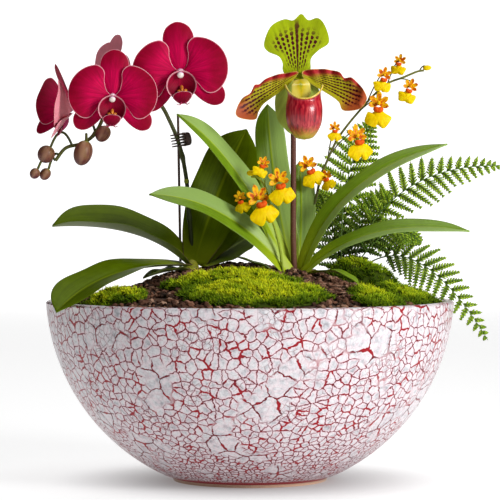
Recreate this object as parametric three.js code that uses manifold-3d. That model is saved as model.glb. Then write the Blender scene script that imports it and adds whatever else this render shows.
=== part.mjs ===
// A planted bowl: a round crackle-glazed bonsai bowl on a foot ring, with drain mesh, gravel,
// potting mix and moss, planted with a moth orchid on a stake, a slipper orchid, two sprays of
// dancing-lady orchid and a fern. Millimetres, +Z up. The origin is the centre of the foot, on the
// ground, and -Y is the front.
import * as THREE from 'three';
import { mergeVertices } from 'three/addons/utils/BufferGeometryUtils.js';
import Module from 'manifold-3d';

const wasm = await Module();
wasm.setup();

// Bowl
const rimRadius = 175;
const bowlHeight = 155;
const swellRise = 9; // the round side is widest this far above the rim
const sideSink = 11.23; // and would come together this far below the ground
const bowlWall = 8;
const lipRound = 2.6;
const footRadius = 66;
const footLand = 8;
const footRise = 6;
const footFlare = 4;
const recessDepth = 2.5;
const baseThickness = 9;
const bowlFacets = 40;
const wallSteps = 7;

// Drainage
const drainRadius = 7;
const drainCount = 3;
const drainCircle = 30;
const meshRadius = 46;
const meshThickness = 1.2;
const meshHole = 4;
const meshPitch = 6;
const gravelDepth = 20;

// Potting mix and what lies on it
const mixBelowRim = 6;
const mixRise = 26;
const seat = 0.3; // gap that touching pieces keep
const mossThickness = 7;
const barkThickness = 3;
const cushionGap = 1.5; // between one cushion and the next
const crownGap = 2; // between a cushion and a crown
const nugget = { long: 6, wide: 4.6, high: 2.6 }; // half sizes of a coarse lump of bark in the mix
const nuggetSpacing = 24;
const nuggetMargin = 8; // from a lump's middle to what covers the mix

// Plants: where each stands, and the size of its root ball. The planting plan is drawn for a bowl
// of planRadius at its rim, and spreads with the bowl.
const planRadius = 175;
const spread = rimRadius / planRadius;
const mothPlace = { x: -52 * spread, y: 5 * spread };
const slipperPlace = { x: 39 * spread, y: -15 * spread };
const fernPlace = { x: 84 * spread, y: 60 * spread };
const mothRoots = { radius: 40, depth: 95, crownRadius: 9, crownHeight: 12 };
const slipperRoots = { radius: 38, depth: 90, crownRadius: 8, crownHeight: 3 };
const fernRoots = { radius: 30, depth: 70, crownRadius: 7, crownHeight: 3 };
const rootTaper = 0.7; // a root ball's foot, as a share of its radius
const rootShoulder = 0.35; // where its taper ends, as a share of its depth
const crownSkirt = 1.3; // a crown's foot, as a share of its radius

// Stems
const spikeRadius = 1.8;
const pedicelRadius = 1.1;
const scapeRadius = 2.6;
const sprayRadius = 1.1;
const sprayPedicelRadius = 0.55;
const rachisRadius = 0.9;
const ovaryRadius = 4.2;
const hubRadius = 5;
const stemSteps = { spike: 30, spray: 20, scape: 9 };

// Stake and clip
const stakeRadius = 1.1;
const stakeLength = 240;
const stakeTravel = 90;
const clipLength = 11.6;
const clipRing = 4.6;
const clipWall = 1.2;
const clipReach = 6;
const clipTab = 7;
const clipTabAngle = 27;
const clipFingers = 5;
const clipFingerGap = 0.5;
const pinRadius = 0.8;
const pinClearance = 0.2;
const knuckleWall = 0.9;
const jawSplit = 0.35; // from the middle plane to each jaw
const springWire = 0.25;
const springTurns = 2.5;
const springGap = 0.2;

// Thickness of what grows
const leafThickness = 1.8;
const petalThickness = 1.1;
const pinnaThickness = 0.7;
const pinnaWidth = 7;
const pinnaSweep = 0.35; // how far a pinna leans towards the tip, as a share of its length

// What each bowl surface works out to: the side is part of an ellipse, as wide as radius and as deep
// as depth below its widest height
const swellHeight = bowlHeight + swellRise;
const outerDepth = swellHeight + sideSink;
const outerRadius = rimRadius / Math.sqrt(1 - (swellRise / outerDepth) ** 2);
const outer = { radius: outerRadius, depth: outerDepth };
const inner = { radius: outerRadius - bowlWall, depth: outerDepth - bowlWall };
const floorTop = recessDepth + baseThickness;
const mixEdge = bowlHeight - mixBelowRim;
const wallInside = (z) => inner.radius * Math.sqrt(1 - ((swellHeight - z) / inner.depth) ** 2);
const mixRadius = wallInside(mixEdge) - seat;
const mixTop = (x, y) => mixEdge + mixRise * (1 - (x * x + y * y) / mixRadius ** 2);

const radians = THREE.MathUtils.degToRad;
const vector = (point) => new THREE.Vector3(...point);

// Solids: a closed geometry becomes a solid for cutting and joining, and comes back as a geometry
function toSolid(geometry) {
  const bare = geometry.clone();
  bare.deleteAttribute('normal');
  bare.deleteAttribute('uv');
  const merged = mergeVertices(bare, 1e-4);
  return new wasm.Manifold(new wasm.Mesh({
    numProp: 3,
    vertProperties: new Float32Array(merged.attributes.position.array),
    triVerts: new Uint32Array(merged.index.array),
  }));
}

function toGeometry(solid) {
  const mesh = solid.getMesh();
  const geometry = new THREE.BufferGeometry();
  const numbers = new Float32Array(mesh.vertProperties);
  geometry.setAttribute('position', new THREE.BufferAttribute(numbers, 3));
  geometry.setIndex(new THREE.BufferAttribute(new Uint32Array(mesh.triVerts), 1));
  geometry.computeVertexNormals();
  return geometry;
}

const join = (solids) => solids.reduce((whole, next) => whole.add(next));
const volume = (solid) => Math.abs(solid.volume());

// The largest single body that is left of a solid once its neighbours' room is cut away
function cutBy(solid, rooms) {
  const left = rooms.reduce((rest, room) => rest.subtract(room), solid);
  const bodies = left.decompose();
  return bodies.reduce((best, body) => (volume(body) > volume(best) ? body : best));
}

// A closed skin through a row of rings that all have the same number of points
function loft(rings) {
  const count = rings[0].length;
  const middle = (ring) => ring.reduce((sum, point) => sum.add(point), new THREE.Vector3())
    .divideScalar(count);
  const points = [...rings.flat(), middle(rings[0]), middle(rings.at(-1))];
  const first = rings.length * count;
  const index = [];
  for (let i = 0; i < count; i++) {
    const next = (i + 1) % count;
    for (let k = 0; k < rings.length - 1; k++) {
      const low = k * count;
      const high = low + count;
      index.push(low + i, low + next, high + next, low + i, high + next, high + i);
    }
    const last = first - count;
    index.push(first, next, i, first + 1, last + i, last + next);
  }
  return closed(points, index);
}

function turnedOut(geometry) {
  const index = geometry.index.array;
  for (let i = 0; i < index.length; i += 3) {
    [index[i], index[i + 1]] = [index[i + 1], index[i]];
  }
  return geometry;
}

// A solid of revolution about Z from [radius, height] points that start and end on the axis
function turned(profile, facets, x = 0, y = 0) {
  const outline = profile.map(([radius, height]) => new THREE.Vector2(radius, height));
  const geometry = new THREE.LatheGeometry(outline, facets);
  geometry.rotateX(Math.PI / 2);
  geometry.translate(x, y, 0);
  return toSolid(geometry);
}

// A round stem along a curve
function stem(curve, radius, sides, steps) {
  const section = new THREE.Shape();
  for (let i = 0; i < sides; i++) {
    const angle = (2 * Math.PI * i) / sides;
    section.lineTo(radius * Math.cos(angle), radius * Math.sin(angle));
  }
  section.curves.shift();
  return toSolid(new THREE.ExtrudeGeometry(section, { steps, extrudePath: curve }));
}

const smooth = (points) => new THREE.CatmullRomCurve3(points.map(vector), false, 'centripetal');
const bent = (from, bend, to) => new THREE.QuadraticBezierCurve3(vector(from), vector(bend), vector(to));

// Width of a leaf or petal along its length: it swells from its base to its widest place and
// rounds off to its tip, sharply where the tip power is near 1 and bluntly where it is high
function swell(t, baseShare, widest, tipPower) {
  if (t < widest) return baseShare + (1 - baseShare) * Math.sin((Math.PI / 2) * (t / widest));
  const past = (t - widest) / (1 - widest);
  return Math.max(0.06, Math.cos((Math.PI / 2) * past ** tipPower));
}

// Room round a blade is this much deeper than wide, because its lens section thins to its edges
const roomStretch = 1.3;

// A leaf, petal or sepal: a thin blade along base, bend and tip whose upper side looks towards face.
// fold lifts its edges, as a share of half its width, and grow widens it all round.
function blade(shape, grow = 0) {
  const { base, bend, tip, width, face = [0, 0, 1], thickness = leafThickness } = shape;
  const { baseShare = 0.35, widest = 0.45, tipPower = 2, fold = 0.25, steps = 8, across = 4 } = shape;
  const curve = bent(base, bend, tip);
  const up = vector(face);
  const rings = [];
  for (let i = 0; i <= steps; i++) {
    const t = i / steps;
    const along = curve.getTangent(t).normalize();
    const side = along.clone().cross(up).normalize();
    const out = side.clone().cross(along).normalize();
    const middle = curve.getPoint(t);
    if (i === 0) middle.addScaledVector(along, -grow);
    if (i === steps) middle.addScaledVector(along, grow);
    const half = (width / 2) * swell(t, baseShare, widest, tipPower) + grow;
    const thick = thickness / 2 + roomStretch * grow;
    const edge = (u, layer) => middle.clone()
      .addScaledVector(side, u * half)
      .addScaledVector(out, fold * Math.abs(u) * half + layer * thick * Math.sqrt(1 - u * u));
    const ring = [];
    for (let k = 0; k < across; k++) ring.push(edge(-1 + (2 * k) / across, 1));
    for (let k = 0; k < across; k++) ring.push(edge(1 - (2 * k) / across, -1));
    rings.push(ring);
  }
  return loft(rings);
}

// An egg-shaped body round a middle line from one end to the other, whose ends are cut flat
const eggEnd = 0.07;
function egg(from, to, radius, sides, steps, blunt = 1) {
  const start = vector(from);
  const end = vector(to);
  const along = end.clone().sub(start).normalize();
  const aside = Math.abs(along.z) < 0.9 ? vector([0, 0, 1]) : vector([1, 0, 0]);
  const side = along.clone().cross(aside).normalize();
  const out = side.clone().cross(along);
  const rings = [];
  for (let i = 0; i <= steps; i++) {
    const t = i / steps;
    const share = eggEnd + (1 - 2 * eggEnd) * t;
    const r = radius * Math.sin(Math.PI * share ** blunt);
    const middle = start.clone().lerp(end, t);
    rings.push([...Array(sides).keys()].map((k) => {
      const angle = (2 * Math.PI * k) / sides;
      return middle.clone()
        .addScaledVector(side, r * Math.cos(angle))
        .addScaledVector(out, r * Math.sin(angle));
    }));
  }
  return loft(rings);
}

// A flat spindle from one point to another, widest a little way out
function spindle(from, to, width, face, thickness, widest = 0.4) {
  const start = vector(from);
  const end = vector(to);
  const along = end.clone().sub(start).normalize();
  const side = along.clone().cross(vector(face)).normalize();
  const out = side.clone().cross(along);
  const waist = [[1, 0], [0, 1], [-1, 0], [0, -1]].map(([u, v]) => start.clone()
    .lerp(end, widest)
    .addScaledVector(side, (u * width) / 2)
    .addScaledVector(out, (v * thickness) / 2));
  return star(start, end, waist);
}

// A closed body from a ring of outline points to one point on each side of it
function star(front, back, outline) {
  const count = outline.length;
  const index = [];
  for (let i = 0; i < count; i++) {
    const next = (i + 1) % count;
    index.push(i, next, count, next, i, count + 1);
  }
  return closed([...outline, front, back], index);
}

function closed(points, index) {
  const geometry = new THREE.BufferGeometry();
  const numbers = points.flatMap((point) => point.toArray());
  geometry.setAttribute('position', new THREE.Float32BufferAttribute(numbers, 3));
  geometry.setIndex(index);
  const solid = toSolid(geometry);
  return solid.volume() > 0 ? solid : toSolid(turnedOut(geometry));
}

// Named sub-parts
const planter = new THREE.Group();
const finishes = {
  glaze: new THREE.MeshStandardMaterial({ color: '#d9d3d6', roughness: 0.18 }),
  net: new THREE.MeshStandardMaterial({ color: '#2b2b2b', roughness: 0.6 }),
  gravel: new THREE.MeshStandardMaterial({ color: '#8d8378', roughness: 0.9 }),
  mix: new THREE.MeshStandardMaterial({ color: '#33231a', roughness: 0.95 }),
  bark: new THREE.MeshStandardMaterial({ color: '#6a4632', roughness: 0.9 }),
  moss: new THREE.MeshStandardMaterial({ color: '#7ea21b', roughness: 0.9 }),
  roots: new THREE.MeshStandardMaterial({ color: '#6b5a3c', roughness: 0.9 }),
  darkLeaf: new THREE.MeshStandardMaterial({ color: '#2f5a1c', roughness: 0.4 }),
  leaf: new THREE.MeshStandardMaterial({ color: '#5f9a2a', roughness: 0.4 }),
  stem: new THREE.MeshStandardMaterial({ color: '#4d5a26', roughness: 0.5 }),
  crimson: new THREE.MeshStandardMaterial({ color: '#a3103c', roughness: 0.5 }),
  bud: new THREE.MeshStandardMaterial({ color: '#8a6a55', roughness: 0.5 }),
  stake: new THREE.MeshStandardMaterial({ color: '#3a2422', roughness: 0.5 }),
  clip: new THREE.MeshStandardMaterial({ color: '#2a1c18', roughness: 0.3 }),
  steel: new THREE.MeshStandardMaterial({ color: '#b8b8b8', roughness: 0.3, metalness: 1 }),
  lime: new THREE.MeshStandardMaterial({ color: '#b9c53a', roughness: 0.5 }),
  red: new THREE.MeshStandardMaterial({ color: '#b3202f', roughness: 0.3 }),
  yellow: new THREE.MeshStandardMaterial({ color: '#f2c512', roughness: 0.5 }),
  frond: new THREE.MeshStandardMaterial({ color: '#3f8f2c', roughness: 0.5 }),
};

function add(group, name, solid, finish) {
  const mesh = new THREE.Mesh(toGeometry(solid), finishes[finish]);
  mesh.name = name;
  group.add(mesh);
  return mesh;
}

function groupAt(place) {
  const group = new THREE.Group();
  group.position.set(place.x, place.y, mixTop(place.x, place.y));
  planter.add(group);
  return group;
}

// Points of an arc of the bowl's round side between two heights, set in from it by inset
function sideArc({ radius, depth }, from, to, steps, inset = 0) {
  const low = Math.asin((swellHeight - from) / depth);
  const high = Math.asin((swellHeight - to) / depth);
  return [...Array(steps + 1).keys()].map((i) => {
    const angle = low + ((high - low) * i) / steps;
    return [(radius - inset) * Math.cos(angle), swellHeight - (depth - inset) * Math.sin(angle)];
  });
}

const innerArc = (inset) => sideArc(inner, bowlHeight - lipRound, floorTop, wallSteps, inset);

const drainPlaces = [...Array(drainCount).keys()].map((i) => {
  const angle = (2 * Math.PI * (i + 0.25)) / drainCount;
  return [drainCircle * Math.cos(angle), drainCircle * Math.sin(angle)];
});

// The bowl: foot ring with a recess, round side, rounded lip, inner wall and drained floor
function bowl() {
  const lip = [0, 45, 90, 135, 180].map((degrees) => {
    const wide = bowlWall / 2;
    const angle = radians(degrees);
    return [
      rimRadius - wide + wide * Math.cos(angle),
      bowlHeight - lipRound + lipRound * Math.sin(angle),
    ];
  });
  const profile = [
    [0, recessDepth],
    [footRadius - footLand, recessDepth],
    [footRadius - footLand, 0],
    [footRadius, 0],
    [footRadius + footFlare / 3, footRise / 2],
    ...sideArc(outer, footRise, bowlHeight - lipRound, wallSteps + 1).slice(0, -1),
    ...lip,
    ...innerArc(0).slice(1),
    [0, floorTop],
  ];
  const drains = drainPlaces.map(([x, y]) => turned([
    [0, -1],
    [drainRadius, -1],
    [drainRadius, floorTop + 1],
    [0, floorTop + 1],
  ], 12, x, y));
  return drains.reduce((body, drain) => body.subtract(drain), turned(profile, bowlFacets));
}

// The drain mesh: a disc on the floor with a cluster of small square holes over each drain
function drainMesh() {
  const low = floorTop + seat;
  const high = low + meshThickness;
  const disc = turned([[0, low], [meshRadius, low], [meshRadius, high], [0, high]], 24);
  const holes = drainPlaces.flatMap(([x, y]) => [-0.5, 0.5].flatMap((i) => [-0.5, 0.5].map((j) => {
    const hole = new THREE.BoxGeometry(meshHole, meshHole, 3 * meshThickness);
    hole.translate(x + i * meshPitch, y + j * meshPitch, low);
    return toSolid(hole);
  })));
  return holes.reduce((body, hole) => body.subtract(hole), disc);
}

// What fills the bowl from a height up to a top outline, clear of the wall
const hollowArc = innerArc(seat).reverse();
const hollowTop = bowlHeight + 2 * mixRise;
const hollow = turned([
  [0, hollowArc[0][1]],
  ...hollowArc,
  [hollowArc.at(-1)[0], hollowTop],
  [0, hollowTop],
], bowlFacets);
function fill(from, top) {
  return turned([[0, from], [rimRadius, from], ...top], bowlFacets).intersect(hollow);
}

const gravelLow = floorTop + meshThickness + 2 * seat;
const gravelHigh = gravelLow + gravelDepth;

// The mix's domed top, as heights at a row of radii
const domeSteps = 5;
const dome = [...Array(domeSteps + 1).keys()].slice(1).map((i) => {
  const radius = mixRadius * (1 - i / domeSteps);
  return [radius, mixTop(radius, 0)];
});
const mixOutline = [[rimRadius, mixEdge], [mixRadius, mixEdge], ...dome];
const underDome = turned([[0, 0], [rimRadius, 0], ...mixOutline], bowlFacets);

function shifted(solid, place, way) {
  const geometry = toGeometry(solid);
  geometry.translate(way * place.x, way * place.y, way * mixTop(place.x, place.y));
  return toSolid(geometry);
}
const toBowl = (solid, place) => shifted(solid, place, 1);
const toPlant = (solid, place) => shifted(solid, place, -1);

// A root ball's tapered body, open upwards: the mix's top cuts it off
function rootBody({ radius, depth }, grow) {
  return turned([
    [0, -depth - grow],
    [radius * rootTaper + grow, -depth - grow],
    [radius + grow, -depth * rootShoulder],
    [radius + grow, depth],
    [0, depth],
  ], 16);
}

// The short crown on a root ball that the leaves grow round
function crown({ crownRadius, crownHeight }, grow) {
  return turned([
    [0, -crownRadius],
    [crownRadius * crownSkirt + grow, -crownRadius],
    [crownRadius * crownSkirt + grow, grow],
    [crownRadius + grow, crownHeight * 0.6 + grow],
    [crownRadius * 0.55 + grow, crownHeight + grow],
    [0, crownHeight + grow],
  ], 12);
}

function rootBall({ place, roots }) {
  const body = toBowl(rootBody(roots, 0), place).intersect(underDome);
  return body.add(toBowl(crown(roots, 0), place));
}

// A mound on the mix: an oval patch that follows the mix below and domes above, inside the wall
function mound(shape) {
  const { turn = 0, height, sides = 12, rough = 0, low = 0 } = shape;
  const [x, y, long, short] = [shape.x, shape.y, shape.long, shape.short].map((size) => size * spread);
  const shares = [1, 0.7, 0.35];
  const limit = wallInside(mixEdge) - 4 * seat;
  const point = (share, k, layer) => {
    const angle = (2 * Math.PI * k) / sides;
    const wave = 1 + 0.08 * Math.sin(3 * angle + x) + rough * Math.sin(5 * angle + y);
    const u = long * share * wave * Math.cos(angle);
    const v = short * share * wave * Math.sin(angle);
    const c = Math.cos(radians(turn));
    const s = Math.sin(radians(turn));
    const flat = new THREE.Vector2(x + u * c - v * s, y + u * s + v * c);
    if (flat.length() > limit) flat.setLength(limit);
    const rise = layer > 0 ? 1 + (height - 1) * (1 - share ** 2.5) : -low;
    return new THREE.Vector3(flat.x, flat.y, mixTop(flat.x, flat.y) + seat + rise);
  };
  const ring = (share, layer) => [...Array(sides).keys()].map((k) => point(share, k, layer));
  const under = shares.toReversed().map((share) => ring(share, 0));
  const over = shares.map((share) => ring(share, 1));
  return loft([...under, ...over]);
}

// Bowl, drainage, mix and root balls
const mothBall = { place: mothPlace, roots: mothRoots };
const slipperBall = { place: slipperPlace, roots: slipperRoots };
const fernBall = { place: fernPlace, roots: fernRoots };
const rootBalls = [mothBall, slipperBall, fernBall];
const rootRooms = rootBalls.map(({ place, roots }) => toBowl(rootBody(roots, seat), place));
const crownRooms = rootBalls.map(({ place, roots }) => toBowl(crown(roots, crownGap), place));

add(planter, 'bowl', bowl(), 'glaze');
add(planter, 'drain_mesh', drainMesh(), 'net');
add(planter, 'drainage_gravel', fill(gravelLow, [[rimRadius, gravelHigh], [0, gravelHigh]]), 'gravel');

// Stake: it stands in the mix and leans so that it passes behind the moth orchid's spike
const stakeTop = vector([-10, 0.2, 141]);
const stakeLean = vector([-1.6, -15, 125]).normalize();
const stakeFoot = stakeTop.clone().addScaledVector(stakeLean, -stakeLength);
const stakeLine = (grow) => new THREE.LineCurve3(
  stakeFoot.clone().addScaledVector(stakeLean, -grow),
  stakeTop.clone().addScaledVector(stakeLean, grow > 0 ? stakeTravel : 0),
);
const stake = (grow = 0) => stem(stakeLine(grow), stakeRadius + grow, 8, 1);
const stakeRoom = stake(seat);

const stakeHole = toBowl(stakeRoom, mothPlace);

// Moss cushions and bark, each cut round the crowns, the stake and its neighbours
const cushions = [
  { name: 'moss_front', x: 6, y: -112, long: 62, short: 34, turn: 0, height: mossThickness },
  { name: 'moss_middle', x: -16, y: -62, long: 58, short: 24, turn: -4, height: mossThickness + 2 },
  { name: 'moss_left', x: -112, y: -78, long: 30, short: 20, turn: -40, height: mossThickness },
  { name: 'moss_right_front', x: 103, y: -92, long: 22, short: 30, turn: 20, height: mossThickness },
  { name: 'moss_right', x: 134, y: -30, long: 24, short: 44, turn: 12, height: mossThickness },
  { name: 'moss_hill', x: 98, y: 28, long: 36, short: 24, turn: 12, height: 3 * mossThickness },
  { name: 'moss_back', x: -20, y: 104, long: 60, short: 36, turn: 4, height: mossThickness, sides: 14 },
];
const grownMound = (shape) => mound({
  ...shape,
  long: shape.long + cushionGap,
  short: shape.short + cushionGap,
  height: 8 * shape.height,
  low: 2 * cushionGap,
});
const laid = [];
for (const cushion of cushions) {
  const cutters = [...crownRooms, stakeHole, ...laid];
  add(planter, cushion.name, cutBy(mound(cushion), cutters), 'moss');
  laid.push(grownMound(cushion));
}
const barkBed = {
  x: 63, y: -78, long: 34, short: 20, turn: -30, height: barkThickness, sides: 10, rough: 0.12,
};
add(planter, 'bark_chips', cutBy(mound(barkBed), [...crownRooms, ...laid]), 'bark');

// A place on the mix is bare where it is clear of the wall, of every mound and of every root ball
function isBare(x, y) {
  const offMounds = [...cushions, barkBed].every(({ turn, ...mound }) => {
    const flat = new THREE.Vector2(x - mound.x * spread, y - mound.y * spread);
    flat.rotateAround(new THREE.Vector2(), -radians(turn));
    const long = mound.long * spread + nuggetMargin;
    const short = mound.short * spread + nuggetMargin;
    return Math.hypot(flat.x / long, flat.y / short) > 1;
  });
  const offRoots = rootBalls.every(({ place, roots }) => {
    return Math.hypot(x - place.x, y - place.y) > roots.radius + nuggetMargin;
  });
  return offMounds && offRoots && Math.hypot(x, y) < mixRadius - nuggetMargin;
}

// The mix with its coarse lumps of bark, which stand out of it in an even spiral where it is bare
function mixWithLumps() {
  const goldenTurn = Math.PI * (3 - Math.sqrt(5));
  const count = Math.round(Math.PI * (mixRadius / nuggetSpacing) ** 2);
  const lumps = [];
  for (let i = 1; i <= count; i++) {
    const reach = mixRadius * Math.sqrt(i / count);
    const x = reach * Math.cos(i * goldenTurn);
    const y = reach * Math.sin(i * goldenTurn);
    if (!isBare(x, y)) continue;
    const lump = new THREE.OctahedronGeometry(1).scale(nugget.long, nugget.wide, nugget.high);
    lump.rotateZ(2 * i * goldenTurn);
    lump.translate(x, y, mixTop(x, y));
    lumps.push(toSolid(lump));
  }
  const mix = fill(gravelHigh + seat, mixOutline).add(join(lumps));
  return cutBy(mix, [...rootRooms, stakeHole]);
}
add(planter, 'potting_mix', mixWithLumps(), 'mix');

// A point beyond the rim and below it, in a plant's frame: what hangs over the rim ends there
function overRim(place, degrees, beyond, drop) {
  const reach = rimRadius + beyond;
  const angle = radians(degrees);
  return [
    reach * Math.cos(angle) - place.x,
    reach * Math.sin(angle) - place.y,
    bowlHeight - drop - mixTop(place.x, place.y),
  ];
}

// Moth orchid leaves, from the lowest pair up. The first hangs over the rim.
const drapedTip = overRim(mothPlace, -144.4, 19.2, 5.6);
const mothLeaves = [
  { base: [-3, -5, 12], bend: [-71, -64, 17], tip: drapedTip, width: 44, face: [0.1, -0.1, 1] },
  { base: [-2, -10, 8], bend: [-15, -21, 11], tip: [-39, -29, 2], width: 20 },
  { base: [9, 3, 12], bend: [26, 22, 20], tip: [50, 45, 35], width: 34, face: [0, -0.8, 1], widest: 0.6 },
  { base: [-2, 0, 14], bend: [-40, -11, 55], tip: [-117, -19, 50], width: 50, face: [0, -0.55, 1] },
  { base: [6, 7, 14], bend: [33, 43, 58], tip: [63, 55, 108], width: 44, face: [0.2, -1, 0.4] },
  { base: [4, 3, 13], bend: [18, 30, 67], tip: [49, 35, 130], width: 48, face: [0.1, -1, 0.2] },
];

// Slipper orchid leaves, from the crown's middle outwards
const slipperLeaves = [
  { base: [-1, 7, 2], bend: [-20, 18, 74], tip: [-24, 25, 150], width: 27, face: [0.1, -1, 0.1] },
  { base: [2, 10, 2], bend: [8, 24, 52], tip: [4, 37, 101], width: 24, face: [0, -1, 0.2] },
  { base: [-5, 3, 2], bend: [-45, -7, 105], tip: [-101, -17, 140], width: 27, face: [0.4, -0.7, 1] },
  { base: [4, -1, 2], bend: [26, -9, 89], tip: [130, 7, 115], width: 22, face: [-0.4, -0.8, 1] },
  { base: [-4, -5, 2], bend: [-56, -24, 71], tip: [-124, -30, 72], width: 26, face: [0, -0.9, 1] },
  { base: [4, -7, 2], bend: [53, -24, 56], tip: [146, -30, 41], width: 22, face: [0, -0.6, 1] },
  { base: [4, -11, 2], bend: [34, -32, 15], tip: [52, -47, -3], width: 12, thickness: 1.4 },
  { base: [-7, -2, 1], bend: [-29, 3, 12], tip: [-51, 7, 19], width: 11, thickness: 1.4 },
];

// Leaves round a crown: each is cut back from the crown and from the leaves laid before it
function fan(group, name, leaves, finish, obstacles) {
  const rooms = [...obstacles];
  leaves.forEach((leaf, i) => {
    const shape = { tipPower: 2.6, widest: 0.5, ...leaf };
    add(group, `${name}_${i + 1}`, cutBy(blade(shape), rooms), finish);
    rooms.push(blade(shape, seat));
  });
  return rooms;
}

// Room for a root ball and its crown, in its plant's frame
function rootRoom({ place, roots }) {
  const top = toPlant(underDome, place);
  const raised = toGeometry(top);
  raised.translate(0, 0, seat);
  return rootBody(roots, seat).intersect(toSolid(raised)).add(crown(roots, seat));
}

// Moth orchid
const moth = groupAt(mothPlace);
const spikeRoute = smooth([
  [2, 9, 9], [1, 8, 36], [-1, 4, 62], [-2, 1, 79], [-4, 0, 94], [-7, 0, 109], [-11, -1, 122],
  [-17, -2, 136], [-24, -3, 149], [-36, -3, 161], [-51, -3, 163], [-67, -3, 153], [-80, -5, 127],
  [-92, -6, 117], [-106, -7, 113], [-115, -8, 102],
]);
const mothFlowers = [
  { place: [-7, -29, 176], size: 1.08, yaw: 0, roll: -5.7, nod: 4, from: 0.58 },
  { place: [-64, -39, 155], size: 1, yaw: 0, roll: 1, nod: 4, from: 0.7 },
  { place: [-107, -6, 146], size: 0.9, yaw: -62, roll: 8, nod: 8, from: 0.84 },
  { place: [-68, 14, 176], size: 0.9, yaw: 150, roll: -12, nod: -6, from: 0.72 },
];
const neckDepth = 6; // from a flower's middle back to the end of its neck
const neckBend = 9; // how far behind that its stalk bends
const mothBuds = [
  { neck: [-119, -7, 114], nose: [-127, -8, 101], radius: 7.4, arch: 12, from: 0.93 },
  { neck: [-88, -12, 119], nose: [-94, -13, 98], radius: 8, arch: 6, from: 0.88 },
  { neck: [-70, -8, 131], nose: [-78, -12, 119], radius: 6.2, arch: 6, from: 0.8 },
  { neck: [-130, -9, 95], nose: [-135, -10, 87], radius: 4.4, arch: 8, from: 1 },
  { neck: [-121, -5, 95], nose: [-127, -4, 86], radius: 4.6, arch: 6, from: 0.985 },
];

function flowerTurn(flower) {
  return new THREE.Euler(radians(-flower.nod), radians(flower.roll), radians(flower.yaw), 'ZYX');
}

// Where a flower's neck ends behind it, in the plant's frame
function neckEnd(flower, beyond) {
  return new THREE.Vector3(0, (neckDepth + beyond) * flower.size, 0).applyEuler(flowerTurn(flower))
    .add(vector(flower.place));
}

function mothBud({ neck, nose, radius }, grow = 0) {
  const along = vector(neck).sub(vector(nose)).normalize();
  const top = vector(neck).addScaledVector(along, grow).toArray();
  const bottom = vector(nose).addScaledVector(along, -grow).toArray();
  return egg(top, bottom, radius + grow, 8, 5, 0.85);
}

function mothSpike() {
  const parts = [stem(spikeRoute, spikeRadius, 5, stemSteps.spike)];
  for (const flower of mothFlowers) {
    const end = neckEnd(flower, seat);
    const start = spikeRoute.getPointAt(flower.from);
    const bend = neckEnd(flower, neckBend);
    parts.push(stem(new THREE.QuadraticBezierCurve3(start, bend, end), pedicelRadius, 4, 3));
  }
  for (const bud of mothBuds) {
    const start = spikeRoute.getPointAt(bud.from);
    const along = vector(bud.neck).sub(vector(bud.nose)).normalize();
    const end = vector(bud.neck);
    const bend = vector(bud.neck).addScaledVector(along, bud.arch);
    parts.push(stem(new THREE.QuadraticBezierCurve3(start, bend, end), pedicelRadius * 0.8, 4, 4));
  }
  return cutBy(join(parts), mothBuds.map((bud) => mothBud(bud, seat)));
}

// A moth orchid flower facing -Y: three sepals behind two broad petals, a lip and a column
function mothFlower(size) {
  const petal = { face: [0, -1, 0], thickness: petalThickness, steps: 4, fold: -0.05 };
  const sepal = { ...petal, across: 2, steps: 3, width: 27 * size, baseShare: 0.3, tipPower: 2.4 };
  const at = (x, y, z) => [x * size, y * size, z * size];
  const parts = [
    egg(at(0, -6, -1), at(0, 3, 0), 4 * size, 5, 2),
    stem(new THREE.LineCurve3(vector(at(0, 0, 0)), vector(at(0, neckDepth, 0))), 1.8 * size, 5, 1),
    blade({ ...sepal, base: at(0, 1.5, 0), bend: at(0, 3, 24), tip: at(0, 0, 40), widest: 0.62 }),
  ];
  for (const hand of [-1, 1]) {
    parts.push(blade({
      ...petal,
      base: at(0, 0, 0),
      bend: at(hand * 20, 2, 3),
      tip: at(hand * 38, -4, 3),
      width: 45 * size,
      across: 2,
      baseShare: 0.12,
      widest: 0.58,
      tipPower: 2.6,
    }));
    parts.push(blade({
      ...sepal,
      base: at(0, 1.5, 0),
      bend: at(hand * 14, 3, -16),
      tip: at(hand * 31, 1, -28),
      widest: 0.6,
    }));
  }
  parts.push(blade({
    ...petal,
    base: at(0, -1, -2),
    bend: at(0, -14, -8),
    tip: at(0, -8, -22),
    width: 20 * size,
    face: [0, 0, 1],
    fold: 0.5,
    baseShare: 0.6,
    widest: 0.4,
    steps: 3,
    across: 2,
  }));
  return join(parts);
}

// Stake clip: a small claw clip whose pin lies along the spike, with fingers that close round spike
// and stake. It is drawn with its pin along Z, its claws towards -X and its front jaw towards -Y.
const clipPlace = [-4.6, 0.6, 120.5];
const clipTilt = -9;
const pinHole = pinRadius + pinClearance;
const knuckle = pinHole + knuckleWall;
const fingerPitch = (clipLength + clipFingerGap) / clipFingers;
const fingerWidth = fingerPitch - clipFingerGap;

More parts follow.
